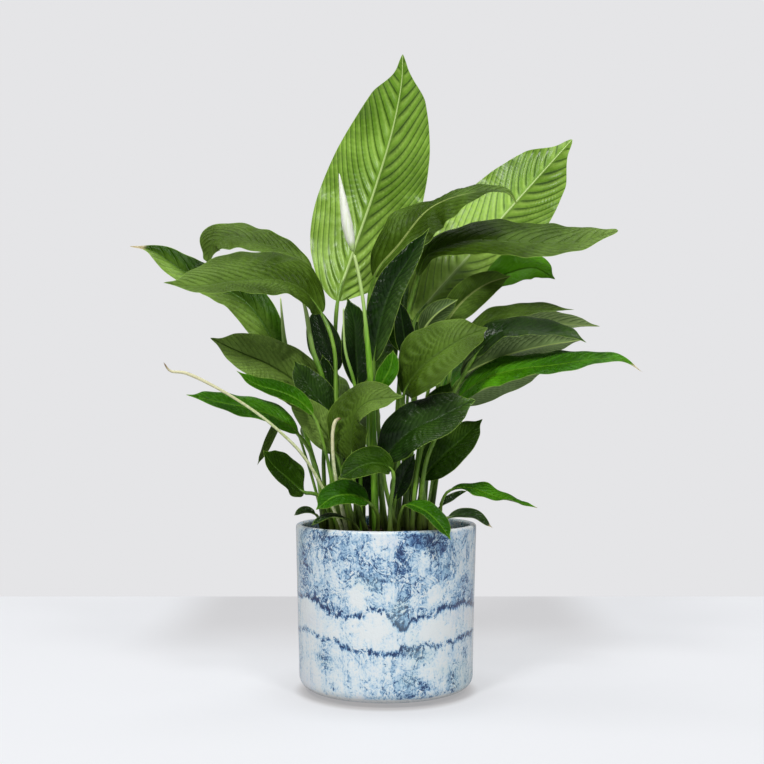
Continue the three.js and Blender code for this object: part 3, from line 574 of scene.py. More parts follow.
LEAVES = {
    # the two tallest leaves, standing at the back
    "leaf_tall_left": dict(
        root=[-40, 2], stalk=[[-44, 8, 215], [-50, 14, 300]],
        blade=[[-49, 22, 387], [-37, 30, 428], [-11, 36, 505], [7, 32, 565], [16, 26, 612], [17, 20, 637]],
        width=110, faces=[[-0.1, 1, 0]],
    ),
    "leaf_tall_right": dict(
        root=[24, 30], stalk=[[26, 34, 220], [28, 38, 300]],
        blade=[[29, 40, 368], [45, 44, 390], [89, 58, 441], [121, 76, 479], [154, 90, 517],
               [202, 104, 571]],
        width=100, faces=[[-0.1, 1, -0.1]], widest=0.44,
    ),

    # arching leaves of the upper storey
    "leaf_arch_high": dict(
        root=[-14, 8], stalk=[[-17, 12, 240], [-19, 12, 350]],
        blade=[[-12, 4, 409], [14, -4, 442], [43, -12, 475], [81, -22, 488], [117, -32, 487],
               [127, -34, 474]],
        width=64, faces=[[-0.55, -0.8, 0.4], [-0.3, -0.7, 0.6], [0, -0.5, 0.85], [0.4, -0.5, 0.8]],
        fold=[22, 16, -22, 0, 12],
    ),
    "leaf_arch_left": dict(
        root=[-34, -20], stalk=[[-42, -30, 215], [-48, -36, 287], [-50, -36, 336]],
        blade=[[-62, -30, 370], [-80, -40, 392], [-101, -48, 400], [-138, -62, 398], [-181, -80, 391],
               [-204, -90, 393]],
        width=84, faces=[[0.2, -0.6, 0.75], [-0.1, -0.57, 0.82]], fold=12,
    ),
    "leaf_arch_right": dict(
        root=[6, 12], stalk=[[8, 12, 206], [12, 14, 287], [19, 16, 357]],
        blade=[[32, 14, 411], [42, 12, 433], [84, 0, 445], [131, -16, 441], [178, -34, 437],
               [221, -50, 447]],
        width=64, faces=[[-0.4, -0.6, 0.6], [0, -0.55, 0.83]], fold=8, widest=0.58,
    ),
    "leaf_dark_upright": dict(
        root=[-2, -14], stalk=[[-8, -18, 220], [-13, -22, 280]],
        blade=[[-12, -26, 323], [-4, -30, 367], [7, -33, 398], [21, -36, 420], [42, -39, 452]],
        width=34, faces=[[-0.3, -0.9, 0.2]],
    ),
    "leaf_twisted": dict(
        root=[-44, 22], stalk=[[-50, 26, 230], [-61, 32, 320], [-70, 36, 385]],
        blade=[[-76, 38, 418], [-97, 42, 438], [-130, 48, 450], [-160, 53, 458], [-179, 56, 452],
               [-187, 58, 432]],
        width=40, faces=[[-0.2, -0.5, 0.85], [-0.3, -0.8, 0.5]], fold=8, widest=0.7,
    ),
    "leaf_far_left": dict(
        root=[-56, 16], stalk=[[-66, 24, 200], [-84, 34, 260]],
        blade=[[-103, 40, 315], [-120, 46, 355], [-142, 54, 386], [-169, 64, 404], [-213, 76, 424],
               [-250, 86, 448], [-275, 90, 453]],
        width=44, faces=[[-0.3, -0.75, 0.6]], fold=20,
    ),

    # dark leaves in the heart of the plant
    "leaf_dark_centre": dict(
        root=[-30, -2], stalk=[[-30, -2, 230]],
        blade=[[-28, 0, 299], [-30, 2, 337], [-32, 3, 366], [-39, 4, 390]],
        width=34, faces=[[0.3, -1, 0]],
    ),
    "leaf_dark_left": dict(
        root=[-46, -6], stalk=[[-48, -2, 230]],
        blade=[[-50, 7, 315], [-58, 8, 339], [-66, 8, 361], [-72, 9, 381]],
        width=38, faces=[[-0.5, -0.8, 0.3]],
    ),
    "leaf_spike": dict(
        root=[-54, -14], stalk=[[-54, -9, 230]],
        blade=[[-53, -6, 285], [-58, -6, 309], [-63, -5, 332]],
        width=18, faces=[[0, -1, 0.1]],
    ),
    "leaf_inner_dark": dict(
        root=[12, -6], stalk=[[18, -8, 240]],
        blade=[[22, -8, 324], [18, -8, 351], [13, -6, 386]],
        width=22, faces=[[0.2, -0.9, 0.2]],
    ),
    "leaf_inner_bright": dict(
        root=[0, -30], stalk=[[-6, -40, 230]],
        blade=[[-6, -44, 296], [4, -46, 317], [7, -45, 334]],
        width=20, faces=[[0, -0.9, 0.4]],
    ),
    "leaf_inner_right": dict(
        root=[25, -35], stalk=[[29, -38, 210]],
        blade=[[38, -38, 252], [47, -38, 272], [56, -38, 290], [62, -38, 304]],
        width=34, faces=[[0, -1, 0]], fold=0,
    ),
    "leaf_inner_low": dict(
        root=[-22, -7], stalk=[[-22, -9, 170]],
        blade=[[-22, -9, 182], [-25, -9, 206], [-29, -9, 232], [-31, -9, 254]],
        width=34, faces=[[0, -1, 0]], fold=0,
    ),
    "leaf_inner_pale": dict(
        root=[16, 5], stalk=[[28, 1, 270]],
        blade=[[36, -5, 352], [48, -8, 370], [71, -10, 386]],
        width=24, faces=[[0.2, 0.85, 0.4]],
    ),

    # left side, from the middle down to the rim
    "leaf_mid_left": dict(
        root=[-60, -2], stalk=[[-62, 0, 220]],
        blade=[[-64, 0, 275], [-85, -4, 301], [-114, -14, 321], [-142, -26, 333], [-169, -38, 346]],
        width=60, faces=[[0.1, -0.9, 0.5]], fold=10,
    ),
    "leaf_mid_dark": dict(
        root=[-46, -24], stalk=[[-50, -25, 210]],
        blade=[[-50, -27, 267], [-66, -29, 288], [-80, -30, 308], [-89, -30, 325]],
        width=36, faces=[[0.2, -0.9, 0.4]],
    ),
    "leaf_low_bright": dict(
        root=[-46, -34], stalk=[[-54, -42, 219], [-61, -48, 250]],
        blade=[[-69, -53, 272], [-83, -57, 286], [-97, -61, 293], [-122, -70, 301], [-139, -76, 313]],
        width=22, faces=[[0, -0.75, 0.66]],
    ),
    "leaf_mid_olive": dict(
        root=[-30, -33], stalk=[[-39, -38, 200]],
        blade=[[-47, -38, 234], [-62, -39, 260], [-79, -43, 278], [-94, -46, 290]],
        width=32, faces=[[-0.1, -0.95, 0.2]], fold=2,
    ),
    "leaf_pointed": dict(
        root=[-62, -12], stalk=[[-69, -18, 223]],
        blade=[[-86, -22, 254], [-108, -28, 270], [-131, -38, 278], [-158, -50, 284], [-188, -64, 291]],
        width=42, faces=[[0, -0.55, 0.83]], fold=6,
    ),
    "leaf_hanging": dict(
        root=[-62, 6], stalk=[[-80, 6, 230], [-92, 3, 262]],
        blade=[[-101, 0, 269], [-109, 0, 259], [-117, 0, 243], [-128, 0, 222]],
        width=14, faces=[[-0.6, -0.7, 0.3]],
    ),
    "leaf_low_dark": dict(
        root=[-52, -26], stalk=[[-59, -42, 190], [-68, -50, 197]],
        blade=[[-77, -56, 199], [-93, -64, 213], [-106, -72, 226], [-114, -78, 239]],
        width=50, faces=[[0.3, -0.6, 0.75]],
    ),
    "leaf_rim_left": dict(
        root=[-63, -28], stalk=[[-65, -29, 170]],
        blade=[[-68, -30, 176], [-78, -33, 179], [-89, -35, 175]],
        width=14, faces=[[0, -0.4, 0.9]],
    ),
    "leaf_rim_front_left": dict(
        root=[-26, -54], stalk=[[-30, -58, 169]],
        blade=[[-38, -63, 175], [-54, -73, 177], [-69, -83, 170]],
        width=13, faces=[[0, -0.4, 0.9]],
    ),

    # front
    "leaf_front_low": dict(
        root=[-8, -46], stalk=[[-8, -56, 178]],
        blade=[[-16, -66, 190], [-31, -72, 197], [-48, -76, 196], [-65, -80, 184]],
        width=32, faces=[[0, -0.7, 0.7]],
    ),
    "leaf_front_curled": dict(
        root=[-20, -38], stalk=[[-28, -44, 190]],
        blade=[[-32, -50, 227], [-33, -54, 253], [-28, -58, 274], [-16, -64, 285], [0, -67, 288],
               [16, -68, 289]],
        width=56, faces=[[-0.45, -0.65, 0.6]],
    ),
    "leaf_front_cup": dict(
        root=[4, -58], stalk=[[4, -60, 185]],
        blade=[[6, -66, 220], [-7, -74, 227], [-22, -80, 225], [-44, -84, 213]],
        width=36, faces=[[0, -0.75, 0.65]],
    ),
    "leaf_front_right": dict(
        root=[10, -40], stalk=[[5, -44, 180]],
        blade=[[-2, -46, 224], [9, -50, 243], [27, -57, 259], [47, -63, 268], [68, -65, 279],
               [84, -65, 286]],
        width=52, faces=[[-0.15, -0.85, 0.5]], widest=0.46,
    ),
    "leaf_broad_centre": dict(
        root=[20, -18], stalk=[[20, -22, 220], [18, -27, 270]],
        blade=[[17, -36, 292], [32, -54, 315], [54, -60, 333], [75, -58, 346], [97, -48, 355]],
        width=66, faces=[[-0.2, -0.8, 0.55]],
    ),
    "leaf_narrow_dark": dict(
        root=[6, -32], stalk=[[7, -33, 170]],
        blade=[[9, -34, 190], [16, -34, 211], [28, -36, 235]],
        width=20, faces=[[0, -0.9, 0.3]],
    ),

    # right side, the stack of leaves in the middle
    "leaf_right_small": dict(
        root=[44, 14], stalk=[[56, 22, 240], [68, 27, 330], [84, 27, 380]],
        blade=[[103, 25, 404], [127, 24, 417], [151, 22, 421], [171, 18, 409]],
        width=40, faces=[[0, -0.8, 0.5]],
    ),
    "leaf_right_olive": dict(
        root=[24, 8], stalk=[[33, 6, 240], [45, 4, 310]],
        blade=[[59, 4, 362], [80, 8, 389], [102, 11, 404], [126, 14, 412]],
        width=34, faces=[[0.3, -0.8, 0.1]],
    ),
    "leaf_right_top": dict(
        root=[34, 14], stalk=[[38, 16, 230], [55, 17, 300]],
        blade=[[77, 12, 343], [106, 2, 368], [144, -4, 375], [186, -8, 376]],
        width=32, faces=[[0, -0.5, 0.85]],
    ),
    "leaf_right_pale": dict(
        root=[38, 24], stalk=[[44, 32, 240], [56, 38, 310]],
        blade=[[75, 40, 343], [123, 50, 361], [177, 64, 368], [227, 76, 366]],
        width=40, faces=[[0, 0.5, 0.85]],
    ),
    "leaf_right_dark": dict(
        root=[32, -22], stalk=[[38, -42, 225], [47, -44, 250], [60, -44, 284], [72, -43, 306]],
        blade=[[85, -38, 328], [109, -40, 351], [147, -48, 351], [174, -56, 348], [189, -60, 340]],
        width=44, faces=[[0, -0.5, 0.85]],
    ),
    "leaf_right_grey": dict(
        root=[38, 4], stalk=[[42, 6, 220], [56, 6, 275]],
        blade=[[75, 4, 309], [113, 0, 329], [153, -6, 340], [193, -12, 346]],
        width=50, faces=[[0, 0.65, 0.75]],
    ),
    "leaf_right_long": dict(
        root=[36, -4], stalk=[[38, -8, 210], [52, -16, 260]],
        blade=[[69, -28, 286], [92, -36, 305], [123, -46, 315], [159, -60, 319], [199, -76, 324],
               [220, -84, 322], [235, -90, 311]],
        width=54, faces=[[0, -0.5, 0.85]], fold=6, widest=0.33,
    ),
    "leaf_right_under": dict(
        root=[26, 0], stalk=[[32, -2, 210], [50, -6, 250]],
        blade=[[68, -10, 282], [92, -10, 296], [117, -10, 305], [156, -10, 315]],
        width=38, faces=[[0, 0.85, 0.5]],
    ),
    "leaf_right_broad_low": dict(
        root=[44, -16], stalk=[[40, -22, 180]],
        blade=[[36, -26, 208], [54, -28, 231], [74, -27, 249], [94, -24, 268]],
        width=40, faces=[[0.1, -0.85, 0.5]],
    ),

    # right side, low over the rim
    "leaf_low_right": dict(
        root=[54, -10], stalk=[[55, -18, 188]],
        blade=[[63, -20, 199], [82, -24, 201], [103, -30, 194], [124, -38, 189], [145, -46, 183]],
        width=18, faces=[[0, -0.5, 0.85]],
    ),
    "leaf_low_thin": dict(
        root=[52, 2], stalk=[[52, 5, 169]],
        blade=[[54, 8, 180], [66, 12, 189], [82, 13, 196]],
        width=10, faces=[[0, -0.5, 0.8]],
    ),
    "leaf_rim_right": dict(
        root=[46, -30], stalk=[[48, -30, 167]],
        blade=[[60, -30, 173], [84, -28, 175], [104, -26, 162]],
        width=16, faces=[[0, -0.5, 0.85]],
    ),
    "leaf_rim_front_right": dict(
        root=[12, -50], stalk=[[13, -54, 174]],
        blade=[[18, -60, 187], [36, -76, 183], [49, -90, 172], [59, -98, 158]],
        width=26, faces=[[0.3, -0.6, 0.75]],
    ),

    # the far side of the plant
    "leaf_back_middle": dict(
        root=[-4, 36], stalk=[[-6, 52, 230]],
        blade=[[-10, 70, 295], [-14, 104, 345], [-16, 142, 368], [-18, 182, 362]],
        width=54, faces=[[0, -0.8, 0.5], [0, 0.2, 1], [0, 0.5, 0.8]],
    ),
    "leaf_back_left": dict(
        root=[-26, 34], stalk=[[-40, 56, 225]],
        blade=[[-52, 76, 270], [-66, 110, 305], [-85, 145, 318], [-100, 180, 305]],
        width=50, faces=[[0.3, -0.5, 0.8], [-0.2, 0.3, 0.9]],
    ),
    "leaf_back_right": dict(
        root=[30, 40], stalk=[[46, 58, 230]],
        blade=[[62, 80, 290], [84, 112, 325], [108, 146, 335], [128, 180, 320]],
        width=52, faces=[[-0.3, -0.5, 0.8], [0.3, 0.3, 0.9]],
    ),
    "leaf_back_tall": dict(
        root=[12, 42], stalk=[[14, 64, 260]],
        blade=[[16, 86, 340], [20, 112, 400], [26, 150, 440], [30, 190, 450]],
        width=56, faces=[[0, -0.9, 0.4], [0, 0.1, 1]],
    ),
    "leaf_back_low_middle": dict(
        root=[-12, 46], stalk=[[-16, 68, 200]],
        blade=[[-20, 90, 245], [-30, 125, 270], [-36, 160, 272], [-40, 190, 255]],
        width=46, faces=[[0, -0.4, 0.9], [0, 0.4, 0.9]],
    ),
    "leaf_back_low_right": dict(
        root=[42, 36], stalk=[[48, 66, 195]],
        blade=[[54, 92, 225], [66, 125, 244], [78, 155, 242], [86, 180, 224]],
        width=42, faces=[[0, -0.4, 0.9], [0.2, 0.4, 0.9]],
    ),
    "leaf_back_low_left": dict(
        root=[-40, 42], stalk=[[-50, 64, 195]],
        blade=[[-58, 86, 230], [-70, 118, 252], [-82, 148, 254], [-90, 172, 240]],
        width=40, faces=[[0, -0.4, 0.9], [-0.2, 0.4, 0.9]],
    ),
}

# How each leaf is finished. top and under name its faces; light is painted light and shade that runs along
# the blade from 0, the deep green, to 1, the lit green; halves paints more light on the blade's left half,
# seen from its upper side with the tip up, and paints shade on the right half by taking light from it;
# quilt is how strongly the blade puffs up between its veins; ripple is its margin's wave, in millimetres;
# dry is where along the blade it is dead.
LEAF_LOOKS = {
    "leaf_tall_left": dict(under="under_bright", light=[0.7, 0.6, 0.25, 0.2, 0.1], quilt=2.4, ripple=1.6),
    "leaf_tall_right": dict(under="under_bright", light=[1, 1, 0.6, 0.3, 0.35], quilt=2.6, ripple=1.6),
    "leaf_arch_high": dict(top="ribbed", light=[0, 0, 0, 0, 0.6], ripple=2.4, under="under_grey"),
    "leaf_arch_left": dict(top="olive", light=[0.0, 0.0, 0.1, 0.25, 0.3], ripple=1.6, quilt=2.2),
    "leaf_arch_right": dict(top="olive", light=[0, 0, 0, 0.15, 0.8], ripple=1.4),
    "leaf_dark_upright": dict(top="dark", light=[0.2, 0.2, 0.1, 0.1], halves=-0.4, ripple=1.0, quilt=2.6),
    "leaf_twisted": dict(top="olive", light=[0.2, 0.1, 0.25, 0.3, 0.4], ripple=2.6),
    "leaf_far_left": dict(top="mid", light=[0.3, 0.35, 0.35, 0.3, 0.2], halves=0.8, ripple=2.0, dry=0.93),
    "leaf_dark_centre": dict(top="dark"),
    "leaf_dark_left": dict(top="dark", light=[0.1, 0.0, 0.2]),
    "leaf_spike": dict(top="dark"),
    "leaf_inner_dark": dict(top="dark"),
    "leaf_inner_bright": dict(top="vivid"),
    "leaf_inner_pale": dict(top="mid", under="under_grey"),
    "leaf_inner_right": dict(top="mid"),
    "leaf_inner_low": dict(top="dark"),
    "leaf_mid_olive": dict(top="olive", light=[0.8, 0.9, 0.3]),
    "leaf_mid_left": dict(top="olive", light=[0.5, 0.6, 0.8, 0.9, 0.9], quilt=2.0),
    "leaf_mid_dark": dict(top="dark", light=[0, 0, 0.1, 0.4]),
    "leaf_low_bright": dict(top="vivid", light=[0.3, 0.1, 0, 0.1, 0.3], under="under_pale"),
    "leaf_pointed": dict(top="vivid", light=[0.4, 0.2, 0.0, 0.1], under="under_pale"),
    "leaf_hanging": dict(top="olive", light=[0.3, 0.2, 0.5], under="under_pale"),
    "leaf_low_dark": dict(top="mid", light=[0.1, 0, 0], ripple=2.0, quilt=2.0),
    "leaf_front_low": dict(top="vivid"),
    "leaf_front_curled": dict(top="olive", light=[0, 0, 0.15, 0.45, 0.5], ripple=1.6, quilt=2.6),
    "leaf_front_cup": dict(top="mid", light=[0.05, 0, 0]),
    "leaf_front_right": dict(top="dark", light=[0, 0, 0.1, 0.2, 0.7], under="under_pale", quilt=1.8),
    "leaf_broad_centre": dict(top="olive", light=[0, 0, 0.1, 0.35, 0.5], quilt=2.8),
    "leaf_narrow_dark": dict(top="dark"),
    "leaf_right_small": dict(top="vivid", light=[0.9, 1, 0.8, 0.6], ripple=2.4),
    "leaf_right_olive": dict(top="ribbed", light=[0.3, 0.1, 0.1], under="under_grey"),
    "leaf_right_top": dict(top="olive", light=[0.4, 0, 0.2, 0.4]),
    "leaf_right_pale": dict(top="olive", light=[0.3, 0.3, 0.4, 0.6], under="under_pale"),
    "leaf_right_dark": dict(top="dark", light=[0.4, 0.1, 0.1, 0.15, 0.6]),
    "leaf_right_grey": dict(top="olive", light=[0, 0.2, 0.4], under="under_grey", quilt=2.0),
    "leaf_right_long": dict(top="vivid", light=[0.3, 0.2, 0.0, 0.1, 0.2], under="under_pale", dry=0.94),
    "leaf_right_under": dict(top="mid", under="under_grey", light=[0.2, 0.2, 0.4]),
    "leaf_right_broad_low": dict(top="mid", light=[0, 0, 0.1], quilt=2.0),
    "leaf_low_right": dict(top="vivid", light=[0, 0, 0.1, 0.2, 0.3], dry=0.97, ripple=3.0),
    "leaf_low_thin": dict(top="dark", light=[0, 0.2, 0.4]),
    "leaf_rim_left": dict(top="dark", light=[0.1, 0.3]),
    "leaf_rim_right": dict(top="dark", light=[0.2, 0.1, 0.3], dry=0.90),
    "leaf_rim_front_left": dict(top="dark"),
    "leaf_rim_front_right": dict(top="vivid"),
    "leaf_back_middle": dict(top="mid", light=[0, 0.1, 0.2]),
    "leaf_back_left": dict(top="olive", light=[0, 0.1, 0.3]),
    "leaf_back_right": dict(top="vivid", light=[0, 0.1, 0.2]),
    "leaf_back_tall": dict(top="mid", light=[0, 0, 0.3]),
    "leaf_back_low_middle": dict(top="olive", light=[0, 0.2, 0.3]),
    "leaf_back_low_right": dict(top="mid"),
    "leaf_back_low_left": dict(top="vivid", light=[0, 0, 0.2]),
}

# Round growths with no blade: radii runs evenly from the first point, in the soil, to the last.
STEMS = {
    "flower_stalk": dict(
        points=[[-10, -32], [-12, -32, 240], [-14, -36, 296], [-17, -42, 334], [-22, -42, 382],
                [-27, -40, 411], [-31, -40, 427]],
        radii=[3.6, 3.6, 3.4, 3.2, 1.8, 1.6, 1.6],
    ),
    "flower_spathe": dict(
        points=[[-31.2, -40, 427.8], [-34, -40, 440], [-37, -40, 454], [-41, -40, 478], [-45, -40, 504]],
        radii=[1.6, 4.4, 5.4, 3.6, 0.5],
    ),
    "bud_far_left": dict(
        points=[[-54, 5], [-72, 16, 220], [-98, 22, 320], [-103, 22, 348], [-107, 22, 392]],
        radii=[2, 2, 2.4, 2.8, 0.6],
    ),
    "bud_left": dict(
        points=[[-50, -18], [-54, -18, 267], [-62, -16, 308], [-72, -14, 336], [-79, -12, 375],
                [-84, -12, 392]],
        radii=[2, 2, 2, 2.6, 2.2, 0.6],
    ),
    "bud_centre": dict(
        points=[[-24, -14], [-30, -14, 297], [-40, -14, 336], [-42, -14, 378]],
        radii=[1.8, 1.8, 1.6, 0.6],
    ),
    "spent_flower": dict(
        points=[[-42, -42], [-76, -62, 231], [-99, -68, 256], [-125, -72, 277], [-159, -73, 298],
                [-187, -74, 311], [-201, -74, 313], [-207, -74, 321]],
        radii=[1.7, 1.6, 1.5, 1.3, 1.3, 1.6, 1.2, 0.5],
    ),
    "spent_stalk": dict(
        points=[[-38, -46], [-47, -52, 208], [-50, -56, 232], [-50, -57, 258], [-47, -57, 267],
                [-42, -57, 269]],
        radii=[2, 1.9, 1.7, 1.6, 1.8, 1.2],
    ),
}


# ---- Curves --------------------------------------------------------------------------------------

def smooth_step(value, low, high):
    part = np.clip((value - low) / (high - low), 0, 1)
    return part * part * (3 - 2 * part)


def unit(rows):
    return rows / np.linalg.norm(rows, axis=-1, keepdims=True)


def spread(row, shares):
    """The values at shares, from 0 to 1, of a row of numbers or vectors that is spread evenly."""
    row = np.array(row, float)
    if len(row) == 1:
        return np.repeat(row, len(shares), axis=0)
    place = np.clip(shares, 0, 1) * (len(row) - 1)
    first = np.minimum(place.astype(int), len(row) - 2)
    part = (place - first).reshape([-1] + [1] * (row.ndim - 1))
    return row[first] * (1 - part) + row[first + 1] * part


def curve_points(points, shares):
    """Places on the centripetal Catmull-Rom curve through points, at shares of its spans."""
    row = np.vstack([2 * points[0] - points[1], points, 2 * points[-1] - points[-2]])
    spans = len(points) - 1
    place = np.clip(shares, 0, 1) * spans
    first = np.minimum(place.astype(int), spans - 1)
    part = (place - first)[:, None]
    p0, p1, p2, p3 = row[first], row[first + 1], row[first + 2], row[first + 3]
    gap0 = np.linalg.norm(p1 - p0, axis=1)[:, None] ** 0.5
    gap1 = np.linalg.norm(p2 - p1, axis=1)[:, None] ** 0.5
    gap2 = np.linalg.norm(p3 - p2, axis=1)[:, None] ** 0.5
    lead = ((p1 - p0) / gap0 - (p2 - p0) / (gap0 + gap1) + (p2 - p1) / gap1) * gap1
    trail = ((p2 - p1) / gap1 - (p3 - p1) / (gap1 + gap2) + (p3 - p2) / gap2) * gap1
    square = -3 * p1 + 3 * p2 - 2 * lead - trail
    cube = 2 * p1 - 2 * p2 + lead + trail
    return p1 + lead * part + square * part ** 2 + cube * part ** 3


class Path:
    """A smooth path through points, in metres, read by shares of its length."""

    SAMPLES = 400

    def __init__(self, points):
        self.points = np.array(points, float) * MM
        self.shares = np.linspace(0, 1, self.SAMPLES + 1)
        steps = np.diff(curve_points(self.points, self.shares), axis=0)
        self.lengths = np.concatenate([[0], np.cumsum(np.linalg.norm(steps, axis=1))])
        self.length = self.lengths[-1]

    def share_at_point(self, index):
        """The share of the length at which the path passes its point of that index."""
        return np.interp(index / (len(self.points) - 1), self.shares, self.lengths) / self.length

    def at(self, lengths):
        return curve_points(self.points, np.interp(lengths, self.lengths / self.length, self.shares))

    def along(self, lengths, reach=0.002):
        """The direction in which the path runs."""
        ahead = self.at(np.minimum(lengths + reach, 1))
        return unit(ahead - self.at(np.maximum(lengths - reach, 0)))


def soil_start(x, y):
    """The two points where a growth leaves the soil, straight up."""
    return [[x, y, SOIL_TOP + GAP], [x, y, SOIL_TOP + ROOT_RISE]]


# ---- Meshes --------------------------------------------------------------------------------------

POINT_VALUES = ("vein", "rib", "light", "dry", "tip", "margin")
MERGE_DISTANCE = 0.000004
SOIL_DEPTH = 0.005


def new_growth():
    """An empty bmesh with the point attributes that the plant's finishes read."""
    bm = bmesh.new()
    for key in POINT_VALUES:
        bm.verts.layers.float.new(key)
    return bm


def lay_grid(bm, columns, rows, surface, face_material=0, turn_over=False):
    """Lays a new grid on a surface, a function that takes side, from -1 to 1, and along, from 0 to 1,
    and returns the points and the attributes that they carry."""
    verts = bmesh.ops.create_grid(bm, x_segments=columns, y_segments=rows, size=1)["verts"]
    flat = np.array([vert.co for vert in verts])
    points, values = surface(flat[:, 0], (flat[:, 1] + 1) / 2)
    layers = [(bm.verts.layers.float[key], row) for key, row in values.items()]
    for i, vert in enumerate(verts):
        vert.co = points[i]
        for layer, row in layers:
            vert[layer] = row[i]
    faces = list({face for vert in verts for face in vert.link_faces})
    for face in faces:
        face.material_index = face_material
        face.smooth = True
    if turn_over:
        bmesh.ops.reverse_faces(bm, faces=faces)


def finish_piece(name, bm, materials, *nodes, slot):
    """Makes a bmesh a finished piece that stands for its CAD nodes."""
    bmesh.ops.remove_doubles(bm, verts=bm.verts, dist=MERGE_DISTANCE)
    bmesh.ops.dissolve_degenerate(bm, edges=bm.edges, dist=MERGE_DISTANCE)
    bmesh.ops.recalc_face_normals(bm, faces=bm.faces)
    for edge in bm.edges:
        edge.smooth = len({face.material_index for face in edge.link_faces}) < 2
    mesh = bpy.data.meshes.new(name)
    bm.to_mesh(mesh)
    bm.free()
    for material in materials:
        mesh.materials.append(material)
    piece = bpy.data.objects.new(name, mesh)
    bpy.context.scene.collection.objects.link(piece)
    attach(piece, "root")
    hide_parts(*nodes)


def add_tube(bm, path, end, radius_at, up, columns, rows, face_material=0, squash=1.0, sink_at=None):
    """A round growth along a path as far as end, closed at both ends. radius_at takes shares of it;
    sink_at lowers it there under its upper side, in radii."""
    def surface(side, along):
        share = end * along
        radius = radius_at(along) * ((along > 0.001) & (along < 0.999))
        angle = np.pi * side
        run = path.along(share)
        lift = spread(up, along)
        lift = unit(lift - np.sum(lift * run, axis=1)[:, None] * run)
        across = np.cross(run, lift)
        out = across * np.sin(angle)[:, None] - lift * np.cos(angle)[:, None] * squash
        places = path.at(share) + out * radius[:, None]
        if sink_at:
            places = places - lift * (sink_at(along) * radius_at(along))[:, None]
        zero = np.zeros(len(along))
        values = {"vein": zero, "rib": zero + 9, "light": zero, "dry": zero, "tip": along}
        return places, {**values, "margin": zero}

    lay_grid(bm, columns, rows, surface, face_material)


def push_into_soil(bm):
    """Draws the lowest points of a growth down into the soil."""
    top = (SOIL_TOP + GAP) * MM
    for vert in bm.verts:
        if vert.co.z < top + 0.0005:
            vert.co.z -= SOIL_DEPTH


# ---- Leaves --------------------------------------------------------------------------------------

BLADE_THICKNESS = 0.55
RIB_HALF_WIDTH = 1.6
STALK_RADIUS = 2.4
ROW_STEP = 1.5
COLUMN_STEP = 3.2
WAVE_LENGTH = 0.060
PUFF_HEIGHT = 0.0010
RIB_GROOVE = 0.0004
RIB_RIDGE = 0.0013
NEVER_DRY = 2.0


def outline(along, widest):
    """Half the blade's width as a share of its widest: a pointed base, full sides, a drawn-out tip."""
    rise = 0.7
    fall = rise * (1 - widest) / widest
    most = widest ** rise * (1 - widest) ** fall
    along = np.clip(along, 0, 1)
    full = (along ** rise * (1 - along) ** fall / most) ** (0.98 - 0.24 * smooth_step(along, 0.15, 0.6))
    return full * (1 - 0.55 * smooth_step(along, 0.84, 0.96))


